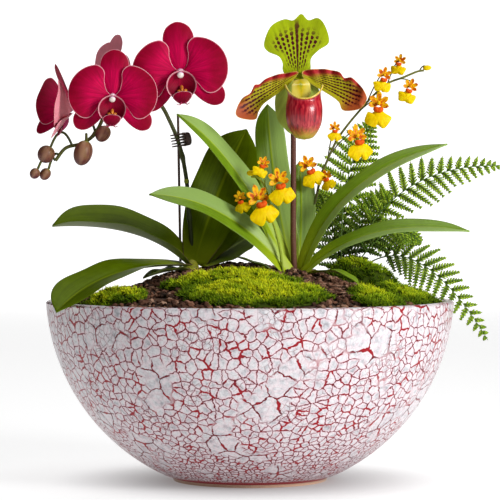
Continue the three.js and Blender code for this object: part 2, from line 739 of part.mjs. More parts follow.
// Outline of one jaw seen along the pin: its tab, its knuckle and its claw
function jawOutline(hand) {
  const mirrored = ([x, y]) => new THREE.Vector2(x, -hand * y);
  const arc = (radius, from, to, steps) => [...Array(steps + 1).keys()].map((i) => {
    const angle = radians(from + ((to - from) * i) / steps);
    return [-clipReach + radius * Math.cos(angle), radius * Math.sin(angle)];
  });
  const slope = radians(clipTabAngle);
  const tabPoint = (reach, offset) => [
    reach * Math.cos(slope) - offset * Math.sin(slope),
    reach * Math.sin(slope) + offset * Math.cos(slope),
  ];
  const points = [
    ...arc(clipRing + clipWall, 40, 205, 6),
    ...arc(clipRing, 205, 22, 6),
    [-clipReach + clipRing + 0.6, jawSplit],
    tabPoint(knuckle / 2, springGap),
    tabPoint(clipTab, springGap),
    tabPoint(clipTab, springGap + clipWall),
    [knuckle * 0.4, knuckle + 1],
  ];
  const outline = points.map(mirrored);
  return new THREE.Shape(hand > 0 ? outline : outline.reverse());
}

function bar(radius, from, to, sides) {
  return stem(new THREE.LineCurve3(vector([0, 0, from]), vector([0, 0, to])), radius, sides, 1);
}

function slab(x, y, z, wide, deep, high) {
  const box = new THREE.BoxGeometry(wide, deep, high);
  box.translate(x, y, z);
  return toSolid(box);
}

function jaw(hand) {
  const half = clipLength / 2;
  const plate = new THREE.ExtrudeGeometry(jawOutline(hand), { depth: clipLength, bevelEnabled: false });
  plate.translate(0, 0, -half);
  const ownKnuckles = hand > 0 ? [[-half, -half + fingerWidth], [half - fingerWidth, half]]
    : [[-half + fingerPitch, -0.6 * fingerPitch], [0.6 * fingerPitch, half - fingerPitch]];
  let body = toSolid(plate).subtract(bar(knuckle + seat, -half - 1, half + 1, 12));
  for (const [from, to] of ownKnuckles) {
    const bridge = slab(0.4, -hand * (knuckle + 0.4), (from + to) / 2, 2 * knuckle, 1.6, to - from);
    body = body.add(bar(knuckle, from, to, 12)).add(bridge);
  }
  body = body.subtract(bar(pinHole, -half - 1, half + 1, 12));
  for (let i = 0; i < clipFingers; i++) {
    const low = -half + i * fingerPitch;
    const own = (i % 2 === 0) === (hand > 0);
    if (!own) {
      const deep = 2 * (clipRing + clipWall + 1);
      const wide = clipRing + 2 * clipWall + 0.6;
      const middle = low + fingerWidth / 2;
      const room = slab(-clipReach - 3.2, 0, middle, wide, deep, fingerWidth + 2 * clipFingerGap);
      body = body.subtract(room);
    }
  }
  return cutBy(body, []);
}

function clipSpring() {
  const coil = pinRadius + springGap + 1.4 * springWire;
  const high = 0.9 * fingerPitch;
  class Coil extends THREE.Curve {
    getPoint(t, target = new THREE.Vector3()) {
      const angle = 2 * Math.PI * springTurns * t;
      return target.set(coil * Math.cos(angle), coil * Math.sin(angle), high * (t - 0.5));
    }
  }
  return stem(new Coil(), springWire, 5, Math.round(8 * springTurns));
}

const spike = mothSpike();
const mothRoom = rootRoom(mothBall);
fan(moth, 'moth_orchid_leaf', mothLeaves, 'darkLeaf', [
  mothRoom,
  stem(spikeRoute, spikeRadius + 1.5 * seat, 5, stemSteps.spike),
  stakeRoom,
]);
add(moth, 'moth_orchid_spike', cutBy(spike, [mothRoom]), 'stem');
mothFlowers.forEach((flower, i) => {
  const mesh = add(moth, `moth_orchid_flower_${i + 1}`, mothFlower(flower.size), 'crimson');
  mesh.position.set(...flower.place);
  mesh.rotation.copy(flowerTurn(flower));
});
mothBuds.forEach((bud, i) => {
  add(moth, `moth_orchid_bud_${i + 1}`, mothBud(bud), 'bud');
});
add(moth, 'stake', stake(), 'stake');

const clip = new THREE.Group();
clip.position.set(...clipPlace);
clip.rotation.set(0, radians(clipTilt), 0);
moth.add(clip);
add(clip, 'clip_jaw_front', jaw(1), 'clip');
add(clip, 'clip_jaw_back', jaw(-1), 'clip');
const pinEnd = clipLength / 2 + seat;
add(clip, 'clip_pin', bar(pinRadius, -pinEnd, pinEnd, 12), 'steel');
add(clip, 'clip_spring', clipSpring(), 'steel');

// Slipper orchid: leaves, scape with its ovary, and the flower's separate pieces round the hub
const slipper = groupAt(slipperPlace);
const hub = [2, -9, 170];
const scapeRoute = smooth([
  [-1, 0, 2], [-2, 0, 35], [-2, 0, 86], [-2, 0, 116], [-2, 0, 138], [0, -2, 159], hub,
]);
const sprays = {
  right: {
    route: smooth([
      [10, 21, -12], [12, 23, 35], [14, 24, 54], [18, 25, 69], [22, 25, 87], [28, 25, 102], [36, 25, 119],
      [46, 25, 133], [57, 25, 146], [68, 25, 158], [80, 25, 168], [93, 25, 173], [105, 25, 178],
      [111, 25, 179],
    ]),
    flowers: [
      { at: [52, 20, 127], size: 1, from: 0.52 },
      { at: [34, 24, 132], size: 0.55, from: 0.5 },
      { at: [72, 20, 155], size: 1, from: 0.66 },
      { at: [77, 20, 178], size: 0.7, from: 0.76 },
      { at: [91, 27, 190], size: 0.6, from: 0.86 },
      { at: [100, 18, 168], size: 0.7, from: 0.88 },
      { at: [9, 20, 101], size: 0.9, from: 0.42 },
      { at: [26, 22, 90], size: 0.6, from: 0.36 },
    ],
  },
  left: {
    route: smooth([
      [-9, -11, -12], [-13, -13, 22], [-17, -15, 40], [-21, -17, 54], [-23, -18, 67], [-26, -19, 78],
      [-32, -19, 86], [-38, -19, 87],
    ]),
    flowers: [
      { at: [-34, -24, 74], size: 1.1, from: 0.7 },
      { at: [-48, -22, 72], size: 0.6, from: 0.74 },
      { at: [-16, -24, 89], size: 1, from: 0.72 },
      { at: [-27, -22, 101], size: 0.6, from: 0.86 },
      { at: [-38, -20, 90], size: 0.45, from: 0.97 },
    ],
  },
};

// One small flower facing -Y: five narrow sepals and petals over a broad lobed lip, as an outline
// of [degrees from +X, reach] round a thicker middle
const sprayOutline = [
  [0, 3], [18, 10], [36, 3], [58, 9], [74, 3], [90, 11], [106, 3], [122, 9], [144, 3], [162, 10], [180, 3],
  [222, 13], [238, 21], [256, 23], [270, 20], [284, 23], [302, 21], [318, 13],
];
function sprayFlower({ at, size }) {
  const outline = sprayOutline.map(([degrees, reach]) => {
    const angle = radians(degrees);
    const lean = -0.15 * reach * size;
    return vector(at).add(vector([reach * size * Math.cos(angle), lean, reach * size * Math.sin(angle)]));
  });
  const front = vector(at).add(vector([0, -3.4 * size, 0]));
  const back = vector(at).add(vector([0, 1.6 * size, 0]));
  return star(front, back, outline);
}

function spray({ route, flowers }) {
  const parts = [stem(route, sprayRadius, 4, stemSteps.spray)];
  for (const flower of flowers) {
    const start = route.getPointAt(flower.from);
    const end = vector(flower.at).add(vector([0, 0.5, 0]));
    const bend = start.clone().lerp(end, 0.5).add(vector([0, 2, 3]));
    parts.push(stem(new THREE.QuadraticBezierCurve3(start, bend, end), sprayPedicelRadius, 3, 2));
    parts.push(sprayFlower(flower));
  }
  return join(parts);
}

const sprayRooms = Object.values(sprays).map(({ route }) => (
  stem(route, sprayRadius + 1.5 * seat, 4, stemSteps.spray)
));
const slipperRoom = rootRoom(slipperBall);
const scapeStem = (grow = 0) => stem(scapeRoute, scapeRadius + grow, 8, stemSteps.scape);
const slipperRooms = [slipperRoom, scapeStem(seat), ...sprayRooms];
const leafRooms = fan(slipper, 'slipper_orchid_leaf', slipperLeaves, 'leaf', slipperRooms);
const ovary = (grow = 0) => egg([-2, 0, 128 - grow], [3, -8, 172 + grow], ovaryRadius + grow, 6, 4);
const hubBall = (grow = 0) => {
  const [x, y, z] = hub;
  return egg([x, y + 6 + grow, z], [x, y - 8 - grow, z], hubRadius + grow, 6, 3);
};
const scape = (grow = 0) => join([scapeStem(grow), ovary(grow), hubBall(grow)]);
add(slipper, 'slipper_orchid_scape', cutBy(scape(), [slipperRoom]), 'stem');
const scapeRoom = scape(seat);

const slipperFlower = [
  {
    name: 'slipper_orchid_dorsal_sepal', base: [1, -9, 172], bend: [2, -2, 206],
    tip: [4, -24, 225], width: 55, baseShare: 0.4, widest: 0.62, tipPower: 2.6, fold: 0.1,
  },
  {
    name: 'slipper_orchid_left_petal', base: [-1, -11, 172], bend: [-34, -14, 171],
    tip: [-48, -23, 139], width: 20, baseShare: 0.5, widest: 0.7, tipPower: 5, fold: -0.15,
  },
  {
    name: 'slipper_orchid_right_petal', base: [5, -11, 172], bend: [42, -14, 175],
    tip: [56, -23, 147], width: 20, baseShare: 0.5, widest: 0.7, tipPower: 5, fold: -0.15,
  },
  {
    name: 'slipper_orchid_lower_sepal', base: [1, -10, 168], bend: [0, -9, 146],
    tip: [-2, -12, 124], width: 40, baseShare: 0.35, widest: 0.5, tipPower: 1.6, fold: 0.2,
  },
];
const flowerRooms = [scapeRoom, ...leafRooms];
for (const { name, ...shape } of slipperFlower) {
  const whole = { face: [0, -1, 0], thickness: petalThickness, ...shape };
  add(slipper, name, cutBy(blade(whole), flowerRooms), 'lime');
  flowerRooms.push(blade(whole, seat));
}

// The pouch: an open slipper-shaped cup below the hub
const pouchPlace = [6.5, -33];
const pouchWall = 1.4;
const pouchOutline = [[0, 118], [8, 120.5], [14.2, 131], [15.4, 144], [13.6, 157], [15.8, 164]];
function pouch() {
  const inside = pouchOutline.slice(1).map(([radius, height]) => (
    [radius - pouchWall, height + pouchWall * 0.6]
  ));
  const profile = [...pouchOutline, ...inside.toReversed(), [0, pouchOutline[0][1] + pouchWall]];
  return turned(profile, 12, ...pouchPlace);
}
add(slipper, 'slipper_orchid_pouch', cutBy(pouch(), flowerRooms), 'red');
const shield = blade({
  base: [3.5, -16, 172],
  bend: [4, -24, 168],
  tip: [4, -26, 156],
  width: 15,
  face: [0, -1, 0.3],
  baseShare: 0.6,
  tipPower: 2.5,
  thickness: 2,
  steps: 5,
  fold: -0.2,
});
add(slipper, 'slipper_orchid_staminode', cutBy(shield, [...flowerRooms, pouch()]), 'yellow');

add(slipper, 'dancing_orchid_right_spray', spray(sprays.right), 'yellow');
add(slipper, 'dancing_orchid_left_spray', spray(sprays.left), 'yellow');

// Fern: each frond is a thin rachis with pairs of tapering pinnae
const fern = groupAt(fernPlace);
const fernRoom = rootRoom(fernBall);
const hangingTip = overRim(fernPlace, 0.6, 30.0, 35.0);
const fronds = [
  { base: [1, 0, 4], bend: [29, 1, 108], tip: [137, -2, 106], pairs: 11, reach: 27, bare: 0.3 },
  { base: [3, -3, 4], bend: [55, -16, 67], tip: hangingTip, pairs: 11, reach: 25, bare: 0.3 },
  { base: [-2, 2, 4], bend: [-9, 9, 98], tip: [24, 12, 145], pairs: 9, reach: 30, bare: 0.35 },
  { base: [1, -5, 4], bend: [36, -11, 68], tip: [66, -16, 38], pairs: 8, reach: 20, bare: 0.35 },
  { base: [-2, 4, 4], bend: [-14, 22, 62], tip: [-23, 30, 81], pairs: 7, reach: 24, bare: 0.35 },
  { base: [2, 3, 4], bend: [9, 14, 74], tip: [42, 20, 81], pairs: 8, reach: 24, bare: 0.35 },
  { base: [0, 5, 4], bend: [10, 40, 70], tip: [40, 70, 30], pairs: 8, reach: 24, bare: 0.35 },
];

function frond({ base, bend, tip, pairs, reach, bare }) {
  const curve = bent(base, bend, tip);
  const parts = [stem(curve, rachisRadius, 3, 8)];
  const level = vector([0, 0, 1]);
  for (let i = 0; i < pairs; i++) {
    const share = i / pairs;
    const t = bare + (1 - bare) * share;
    const along = curve.getTangent(t);
    const facing = vector([0, -1, 0.6]).normalize();
    const side = along.clone().cross(facing).normalize();
    const length = reach * Math.min(0.7 + share, (1 - share) / 0.7);
    for (const hand of [-1, 1]) {
      const root = curve.getPoint(t);
      const end = root.clone()
        .addScaledVector(side, hand * length)
        .addScaledVector(along, pinnaSweep * length);
      const face = level.clone().lerp(facing, 0.5).toArray();
      const width = Math.min(pinnaWidth, 0.3 * length + 2);
      parts.push(spindle(root.toArray(), end.toArray(), width, face, pinnaThickness));
    }
  }
  return join(parts);
}

fronds.forEach((shape, i) => {
  add(fern, `fern_frond_${i + 1}`, cutBy(frond(shape), [fernRoom]), 'frond');
});

// Root balls, with holes for the stake and for the stems that go down into them
const sprayHoles = sprayRooms.map((room) => toBowl(room, slipperPlace));
add(planter, 'moth_orchid_root_ball', cutBy(rootBall(mothBall), [stakeHole]), 'roots');
add(planter, 'slipper_orchid_root_ball', cutBy(rootBall(slipperBall), sprayHoles), 'roots');
add(planter, 'fern_root_ball', rootBall(fernBall), 'roots');

export default planter;
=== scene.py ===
import math
import bmesh
import bpy
import numpy as np
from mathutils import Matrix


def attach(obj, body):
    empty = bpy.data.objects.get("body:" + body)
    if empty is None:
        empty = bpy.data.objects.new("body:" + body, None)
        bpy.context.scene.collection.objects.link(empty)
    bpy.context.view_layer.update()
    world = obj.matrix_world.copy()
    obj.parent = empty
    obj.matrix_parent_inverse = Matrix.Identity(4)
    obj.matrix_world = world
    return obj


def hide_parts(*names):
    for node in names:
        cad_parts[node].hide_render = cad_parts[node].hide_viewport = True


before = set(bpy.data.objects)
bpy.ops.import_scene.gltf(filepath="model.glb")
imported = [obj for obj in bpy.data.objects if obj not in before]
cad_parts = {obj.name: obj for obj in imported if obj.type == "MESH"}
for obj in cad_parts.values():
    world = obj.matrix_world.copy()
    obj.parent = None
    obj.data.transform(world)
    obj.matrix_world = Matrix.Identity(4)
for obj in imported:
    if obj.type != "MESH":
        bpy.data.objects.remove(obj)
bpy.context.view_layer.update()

# Camera, floor and light
# The camera looks level at the bowl from over two metres away through a long lens, as the photograph
# was taken. A white studio floor and broad soft lights stand round the bowl, and the floor's glow is
# dimmed in a ring round the bowl as a painted shadow.
sensor_width = 36
frame_pixels = 500
focal_pixels = 2566
camera_distance = 2.206
camera_height = 0.2467
camera_pitch = 0.0222

camera_data = bpy.data.cameras.new("camera")
camera_data.sensor_width = sensor_width
camera_data.lens = sensor_width * focal_pixels / frame_pixels
camera_data.clip_end = 40
camera = bpy.data.objects.new("camera", camera_data)
camera.location = (0, -camera_distance, camera_height)
camera.rotation_euler = (math.pi / 2 - camera_pitch, 0, 0)
bpy.context.scene.collection.objects.link(camera)
bpy.context.scene.camera = camera
bpy.context.scene.view_settings.view_transform = "Standard"


def soft_light(name, place, target, size, power, colour=(1, 1, 1)):
    """A square area light at place that faces target."""
    data = bpy.data.lights.new(name, "AREA")
    data.size = size
    data.energy = power
    data.color = colour
    light = bpy.data.objects.new(name, data)
    light.location = place
    direction = np.array(target, float) - np.array(place, float)
    flat = math.hypot(direction[0], direction[1])
    turn = math.atan2(direction[1], direction[0]) - math.pi / 2
    light.rotation_euler = (math.pi / 2 - math.atan2(-direction[2], flat), 0, turn)
    bpy.context.scene.collection.objects.link(light)


bowl_middle = (0, 0, 0.12)
soft_light("key_light", (2.1, -1.7, 1.1), bowl_middle, 1.0, 80)
soft_light("fill_light", (-1.9, -1.5, 0.9), bowl_middle, 1.6, 0.3)
soft_light("top_light", (0.1, 0.3, 2.0), bowl_middle, 1.4, 17)

world = bpy.data.worlds.new("studio")
world.use_nodes = True
world.node_tree.nodes["Background"].inputs["Color"].default_value = (1, 1, 1, 1)
world.node_tree.nodes["Background"].inputs["Strength"].default_value = 0.02
bpy.context.scene.world = world


def put(kind, sockets=None, **settings):
    """Adds one shader node to the material at hand: settings are its own options, and a socket's
    value may be another node's output, which is then linked."""
    node = tree.nodes.new(kind)
    for name, value in settings.items():
        setattr(node, name, value)
    for name, value in (sockets or {}).items():
        if isinstance(value, bpy.types.NodeSocket):
            tree.links.new(value, node.inputs[name])
        else:
            node.inputs[name].default_value = value
    return node


def new_material(name, **sockets):
    """A Principled material whose even values are set on the shader's own sockets. It becomes the
    material at hand, to which the next nodes are added."""
    global tree, shader
    made = bpy.data.materials.new(name)
    made.use_nodes = True
    tree = made.node_tree
    shader = tree.nodes["Principled BSDF"]
    for socket, value in sockets.items():
        shader.inputs[socket.replace("_", " ")].default_value = value
    return made


def feed(value, socket="Base Color"):
    """Links a value to a socket of the material at hand."""
    tree.links.new(value, shader.inputs[socket])


def own_place():
    """The coordinates of the painted object itself."""
    return put("ShaderNodeTexCoord").outputs["Object"]


def fade(value, start, end, low=0.0, high=1.0):
    """low where value is start, high where it is end, and smooth between them."""
    return put("ShaderNodeMapRange", {
        "Value": value, "From Min": start, "From Max": end, "To Min": low, "To Max": high,
    }, interpolation_type="SMOOTHSTEP").outputs["Result"]


floor_half = 9
wall_half = 0.8
wall_back = 3.5
wall_top = 1.8
shade_start = 0.06
shade_end = 0.18
shade_glow = 0.22
studio_grey = (0.36, 0.36, 0.36, 1)
studio_corners = {
    "floor": [
        (-floor_half, -floor_half, 0), (floor_half, -floor_half, 0),
        (floor_half, wall_back, 0), (-floor_half, wall_back, 0),
    ],
    "wall": [
        (-wall_half, wall_back, 0), (wall_half, wall_back, 0),
        (wall_half, wall_back, wall_top), (-wall_half, wall_back, wall_top),
    ],
}
for name, glow in (("floor", 0.76), ("wall", 1.0)):
    studio_mesh = bpy.data.meshes.new(name)
    studio_mesh.from_pydata(studio_corners[name], [], [(0, 1, 2, 3)])
    studio = bpy.data.objects.new(name, studio_mesh)
    bpy.context.scene.collection.objects.link(studio)
    paint = new_material(
        name + "_paint", Roughness=0.8, Base_Color=studio_grey,
        Emission_Color=(1, 1, 1, 1), Emission_Strength=glow)
    if name == "floor":
        # Painted shadow: the floor's glow falls to shade_glow near the bowl and rises to full between
        # shade_start and shade_end from its middle.
        away = put("ShaderNodeVectorMath", {0: own_place()}, operation="LENGTH").outputs["Value"]
        feed(fade(away, shade_start, shade_end, shade_glow, glow), "Emission Strength")
    studio_mesh.materials.append(paint)

# Bowl
# Wheel-thrown stoneware with a turned foot ring, a rounded lip and three drain holes. A white crackle
# glaze has shrunk over a red one, so that crimson shows in every crack, and the foot is wiped bare.
MM = 0.001
rim_radius = 175
bowl_height = 155
swell_height = 164
side_sink = 11.23
bowl_wall = 8
lip_round = 2.6
foot_radius = 66
foot_land = 8
foot_rise = 6
recess_depth = 2.5
floor_top = 11.5
edge_round = 0.7
bowl_columns = 288
least_girth = 30
outer_depth = swell_height + side_sink
outer_radius = rim_radius / math.sqrt(1 - ((swell_height - bowl_height) / outer_depth) ** 2)
inner_radius = outer_radius - bowl_wall
inner_depth = outer_depth - bowl_wall


def make_piece(name, points, faces, attributes=None, weld=False, smooth=True):
    """A mesh object from points in millimetres and an array of faces. attributes holds one vector
    for each point. weld merges the points of poles and seams and turns the faces outwards."""
    mesh = bpy.data.meshes.new(name)
    mesh.vertices.add(len(points))
    mesh.vertices.foreach_set("co", (points * MM).astype(np.float32).ravel())
    mesh.loops.add(faces.size)
    mesh.loops.foreach_set("vertex_index", faces.astype(np.int32).ravel())
    mesh.polygons.add(len(faces))
    starts = np.arange(0, faces.size, faces.shape[1], dtype=np.int32)
    mesh.polygons.foreach_set("loop_start", starts)
    mesh.update(calc_edges=True)
    for label, values in (attributes or {}).items():
        layer = mesh.attributes.new(label, "FLOAT_VECTOR", "POINT")
        layer.data.foreach_set("vector", values.astype(np.float32).ravel())
    if weld:
        work = bmesh.new()
        work.from_mesh(mesh)
        bmesh.ops.remove_doubles(work, verts=work.verts, dist=0.00001)
        bmesh.ops.dissolve_degenerate(work, edges=work.edges, dist=0.00001)
        bmesh.ops.recalc_face_normals(work, faces=work.faces)
        work.to_mesh(mesh)
        work.free()
    mesh.polygons.foreach_set("use_smooth", np.full(len(mesh.polygons), smooth))
    mesh.update()
    piece = bpy.data.objects.new(name, mesh)
    bpy.context.scene.collection.objects.link(piece)
    return piece


def grid_faces(rows, columns, wrap=True):
    """Four-cornered faces of a grid of points laid out row by row; wrap joins its last column to
    its first."""
    last = columns if wrap else columns - 1
    row, column = np.meshgrid(np.arange(rows - 1), np.arange(last), indexing="ij")
    here = row * columns + column
    beside = row * columns + (column + 1) % columns
    return np.stack([here, beside, beside + columns, here + columns], -1).reshape(-1, 4)


def lathe(profile, columns):
    """Points and faces of a profile of radius and height turned once round Z."""
    angle = np.linspace(0, 2 * math.pi, columns, endpoint=False)
    radius, height = np.array(profile, float).T
    points = np.stack([
        radius[:, None] * np.cos(angle),
        radius[:, None] * np.sin(angle),
        height[:, None] + 0 * angle,
    ], -1)
    return points.reshape(-1, 3), grid_faces(len(radius), columns)


def side_arc(radius, depth, low, high, steps):
    """The round side's profile between two heights: part of an ellipse of this half width and this
    depth, whose centre is a little above the rim."""
    first = math.asin((swell_height - low) / depth)
    last = math.asin((swell_height - high) / depth)
    angle = np.linspace(first, last, steps)
    return np.stack([radius * np.cos(angle), swell_height - depth * np.sin(angle)], -1)


def rounded(corner, before, after, steps=4):
    """A small arc in place of a corner of a profile, edge_round away from it on both sides."""
    corner, before, after = np.array(corner, float), np.array(before, float), np.array(after, float)
    start = corner + (before - corner) / np.linalg.norm(before - corner) * edge_round
    end = corner + (after - corner) / np.linalg.norm(after - corner) * edge_round
    t = np.linspace(0, 1, steps)[:, None]
    return (1 - t) ** 2 * start + 2 * t * (1 - t) * corner + t**2 * end


lip_angle = np.linspace(0, math.pi, 24)
lip_middle = rim_radius - bowl_wall / 2
lip = np.stack([
    lip_middle + bowl_wall / 2 * np.cos(lip_angle),
    bowl_height - lip_round + lip_round * np.sin(lip_angle),
], -1)
inner_foot = foot_radius - foot_land
bowl_profile = np.concatenate([
    [[0, recess_depth]],
    rounded((inner_foot, recess_depth), (0, recess_depth), (inner_foot, 0)),
    rounded((inner_foot, 0), (inner_foot, recess_depth), (foot_radius, 0)),
    rounded((foot_radius, 0), (inner_foot, 0), (foot_radius, foot_rise)),
    [[foot_radius + 0.6, foot_rise / 2]],
    side_arc(outer_radius, outer_depth, foot_rise, bowl_height - lip_round, 60),
    lip[1:-1],
    side_arc(inner_radius, inner_depth, floor_top, bowl_height - lip_round, 40)[::-1],
    [[0, floor_top]],
])
bowl_points, bowl_faces = lathe(bowl_profile, bowl_columns)
around = np.arctan2(bowl_points[:, 0], -bowl_points[:, 1])
around = np.where(np.abs(around) > math.pi / 2, np.sign(around) * math.pi - around, around)
girth = np.maximum(bowl_profile[:, 0], least_girth)
between = (girth[1:] + girth[:-1]) / 2
climb = np.linalg.norm(np.diff(bowl_profile, axis=0), axis=1) * rim_radius / between
climb = np.concatenate([[0], np.cumsum(climb)])
unrolled = np.stack([
    rim_radius * around * MM,
    np.repeat(climb, bowl_columns) * MM,
    np.repeat(rim_radius / girth, bowl_columns),
], -1)
bowl = make_piece("glazed_bowl", bowl_points, bowl_faces, {"unrolled": unrolled}, weld=True)


def cut_away(piece, points, faces):
    """Cuts the closed body with these points and faces out of a piece."""
    tool = make_piece("tool", points, faces, weld=True)
    cut = piece.modifiers.new("cut", "BOOLEAN")
    cut.operation = "DIFFERENCE"
    cut.object = tool
    bpy.context.view_layer.objects.active = piece
    bpy.ops.object.modifier_apply(modifier=cut.name)
    bpy.data.objects.remove(tool)


drain_radius = 7
drain_circle = 30
for i in range(3):
    angle = 2 * math.pi * (i + 0.25) / 3
    top = floor_top + 1
    points, faces = lathe([(0, -1), (drain_radius, -1), (drain_radius, top), (0, top)], 48)
    cut_away(bowl, points + [drain_circle * math.cos(angle), drain_circle * math.sin(angle), 0], faces)


def ramp(value, stops):
    """A colour that goes through the given stops of place and colour as value rises."""
    node = put("ShaderNodeValToRGB", {"Fac": value})
    elements = node.color_ramp.elements
    while len(elements) < len(stops):
        elements.new(0.5)
    for element, (place, colour) in zip(elements, stops):
        element.position = place
        element.color = (*colour, 1)
    return node.outputs["Color"]


def blend(share, first, second, kind="MIX"):
    """first where share is 0, second where it is 1."""
    first, second = ((*value, 1) if isinstance(value, tuple) else value for value in (first, second))
    sockets = {0: share, 6: first, 7: second}
    return put("ShaderNodeMix", sockets, data_type="RGBA", blend_type=kind).outputs[2]


def maths(kind, first, second=0.0):
    """One arithmetic step on two values."""
    return put("ShaderNodeMath", {0: first, 1: second}, operation=kind).outputs[0]


def times(first, second):
    """first times second."""
    return maths("MULTIPLY", first, second)


def plus(first, second):
    """first and second together."""
    return maths("ADD", first, second)


def minus(first, second):
    """first less second."""
    return maths("SUBTRACT", first, second)


def noise(scale, detail=3.0, roughness=0.55, place=None):
    """Soft noise from 0 to 1 whose features are about 1/scale metres across. Without a place it
    lies on the object's own coordinates."""
    return put("ShaderNodeTexNoise", {
        "Vector": own_place() if place is None else place,
        "Scale": scale, "Detail": detail, "Roughness": roughness,
    }).outputs["Fac"]


def bumps(height, strength, distance):
    """Relief from a height, distance metres deep at full strength. Returns the bent normal."""
    node = put("ShaderNodeBump", {"Height": height, "Strength": strength, "Distance": distance})
    feed(node.outputs["Normal"], "Normal")
    return node.outputs["Normal"]


def shaken(place, scale, reach):
    """A place moved by up to reach metres by noise, so that straight lines wander."""
    drift = put("ShaderNodeTexNoise", {"Vector": place, "Scale": scale, "Detail": 3.0})
    centred = put("ShaderNodeVectorMath", {
        0: drift.outputs["Color"], 1: (0.5, 0.5, 0.5),
    }, operation="SUBTRACT")
    moved = put("ShaderNodeVectorMath", {
        0: centred.outputs[0], "Scale": 2 * reach,
    }, operation="SCALE")
    return put("ShaderNodeVectorMath", {
        0: place, 1: moved.outputs[0],
    }, operation="ADD").outputs[0]


def crack(place, cell, width, soft, stretch):
    """1 in the cracks between cells that are cell metres across, 0 on their plates. width is half a
    crack's width and soft the width of its blurred edge, in metres. Places drawn out stretch times
    are measured at their true size."""
    edge = put("ShaderNodeTexVoronoi", {
        "Vector": place, "Scale": 1 / cell,
    }, feature="DISTANCE_TO_EDGE", voronoi_dimensions="2D")
    distance = maths("DIVIDE", times(edge.outputs["Distance"], cell), stretch)
    beyond = minus(distance, width)
    return fade(beyond, soft, 0.0)


glaze = new_material(
    "crackle_glaze", Roughness=0.3, Specular_IOR_Level=0.2, Coat_Weight=0.12, Coat_Roughness=0.08)
height = put("ShaderNodeSeparateXYZ", {0: own_place()}).outputs["Z"]
unrolled = put("ShaderNodeAttribute", attribute_name="unrolled").outputs["Vector"]
stretch = put("ShaderNodeSeparateXYZ", {0: unrolled}).outputs["Z"]
flat = put("ShaderNodeVectorMath", {0: unrolled, 1: (1, 1, 0)}, operation="MULTIPLY").outputs[0]
wandering = shaken(shaken(flat, 75, 0.0030), 300, 0.0017)
bold = fade(noise(62, 1.5, place=flat), 0.48, 0.72)
plates = fade(noise(17, 1.0, place=flat), 0.54, 0.60)
web_line = plus(times(bold, 0.0006), 0.00022)
web = crack(wandering, 0.0086, web_line, 0.0004, stretch)
web = times(web, minus(1.0, plates))
bold_line = plus(times(bold, 0.0009), 0.0004)
wide = crack(wandering, 0.020, bold_line, 0.0004, stretch)
wide = times(wide, plates)
patches = fade(noise(26, 2.0, place=flat), 0.54, 0.62)
hair = crack(shaken(flat, 170, 0.0026), 0.0054, 0.00004, 0.0004, stretch)
hair = times(hair, plus(times(patches, 0.55), 0.16))
cracks = maths("MAXIMUM", wide, maths("MAXIMUM", web, hair))
halo = crack(wandering, 0.0086, 0.0003, 0.0022, stretch)
halo = times(halo, minus(1.0, times(plates, 0.6)))
cloud = noise(150, 4.0, 0.7)
body = ramp(cloud, [
    (0.3, (0.34, 0.35, 0.38)),
    (0.45, (0.60, 0.59, 0.62)),
    (0.58, (0.76, 0.74, 0.76)),
    (0.72, (0.60, 0.47, 0.52)),
])
body = blend(times(halo, 0.6), body, (0.84, 0.58, 0.63))
depth_tone = plus(times(noise(60), 0.5), times(bold, 0.5))
red = ramp(depth_tone, [(0.2, (0.13, 0.002, 0.012)), (0.6, (0.31, 0.001, 0.009))])
skin = blend(cracks, body, red)
red_band = fade(height, 0.0062, 0.0048)
bare_clay = fade(height, 0.0030, 0.0022)
skin = blend(red_band, skin, (0.34, 0.02, 0.03))
skin = blend(bare_clay, skin, (0.62, 0.40, 0.28))
feed(skin)
relief = minus(times(cloud, 0.25), cracks)
feed(bumps(relief, 0.5, 0.0004), "Coat Normal")
bowl.data.materials.append(glaze)
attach(bowl, "planter")
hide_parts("bowl")

# Drain mesh, gravel and root balls
# A fine plastic mesh lies over the drain holes, coarse gravel over the mesh, and each plant came with
# its roots in a ball of its own mix. They stay as the planter holds them, under the mix.
def grain_material(name, cell, dark, light, roughness=0.9, relief=0.0012):
    """Grains about cell metres across, each of its own tone between two colours."""
    made = new_material(name, Roughness=roughness)
    grain = put("ShaderNodeTexVoronoi", {"Vector": own_place(), "Scale": 1 / cell})
    tone = put("ShaderNodeSeparateColor", {0: grain.outputs["Color"]}).outputs[0]
    mottled = times(plus(tone, noise(3 / cell)), 0.5)
    feed(ramp(mottled, [(0.25, dark), (0.75, light)]))
    rounded_grain = times(grain.outputs["Distance"], -1.0)
    bumps(rounded_grain, 0.8, relief)
    return made


def finish_node(name, material):
    """Gives a part that stays as the frame holds it its finished material."""
    node = bpy.data.objects[name]
    if not node.material_slots:
        node.data.materials.append(material)
    for held in node.material_slots:
        held.material = material


mix_paint = grain_material("potting_mix_grains", 0.0035, (0.012, 0.006, 0.003), (0.10, 0.045, 0.022))
finish_node("drain_mesh", grain_material(
    "woven_plastic_mesh", 0.0016, (0.01, 0.01, 0.01), (0.05, 0.05, 0.05)))
finish_node("drainage_gravel", grain_material(
    "baked_clay_gravel", 0.007, (0.20, 0.09, 0.05), (0.48, 0.27, 0.16)))

# Potting mix
# A bark and peat mix fills the bowl to a low mound that is highest in the middle. The grains on its
# bare parts are separate, dark brown to red-brown, and larger shreds of bark lie at the right front.
seat = 0.3
gravel_top = 33.3
mix_edge = 149
mix_rise = 26
mix_steps = 64


def wall_inside(height):
    """The inner radius of the bowl at this height."""
    return inner_radius * np.sqrt(1 - ((swell_height - height) / inner_depth) ** 2)


mix_radius = wall_inside(mix_edge) - seat


def mix_top(x, y):
    """Height of the smooth mound: a shallow dish turned over, mix_rise higher in the middle."""
    return mix_edge + mix_rise * (1 - (x**2 + y**2) / mix_radius**2)


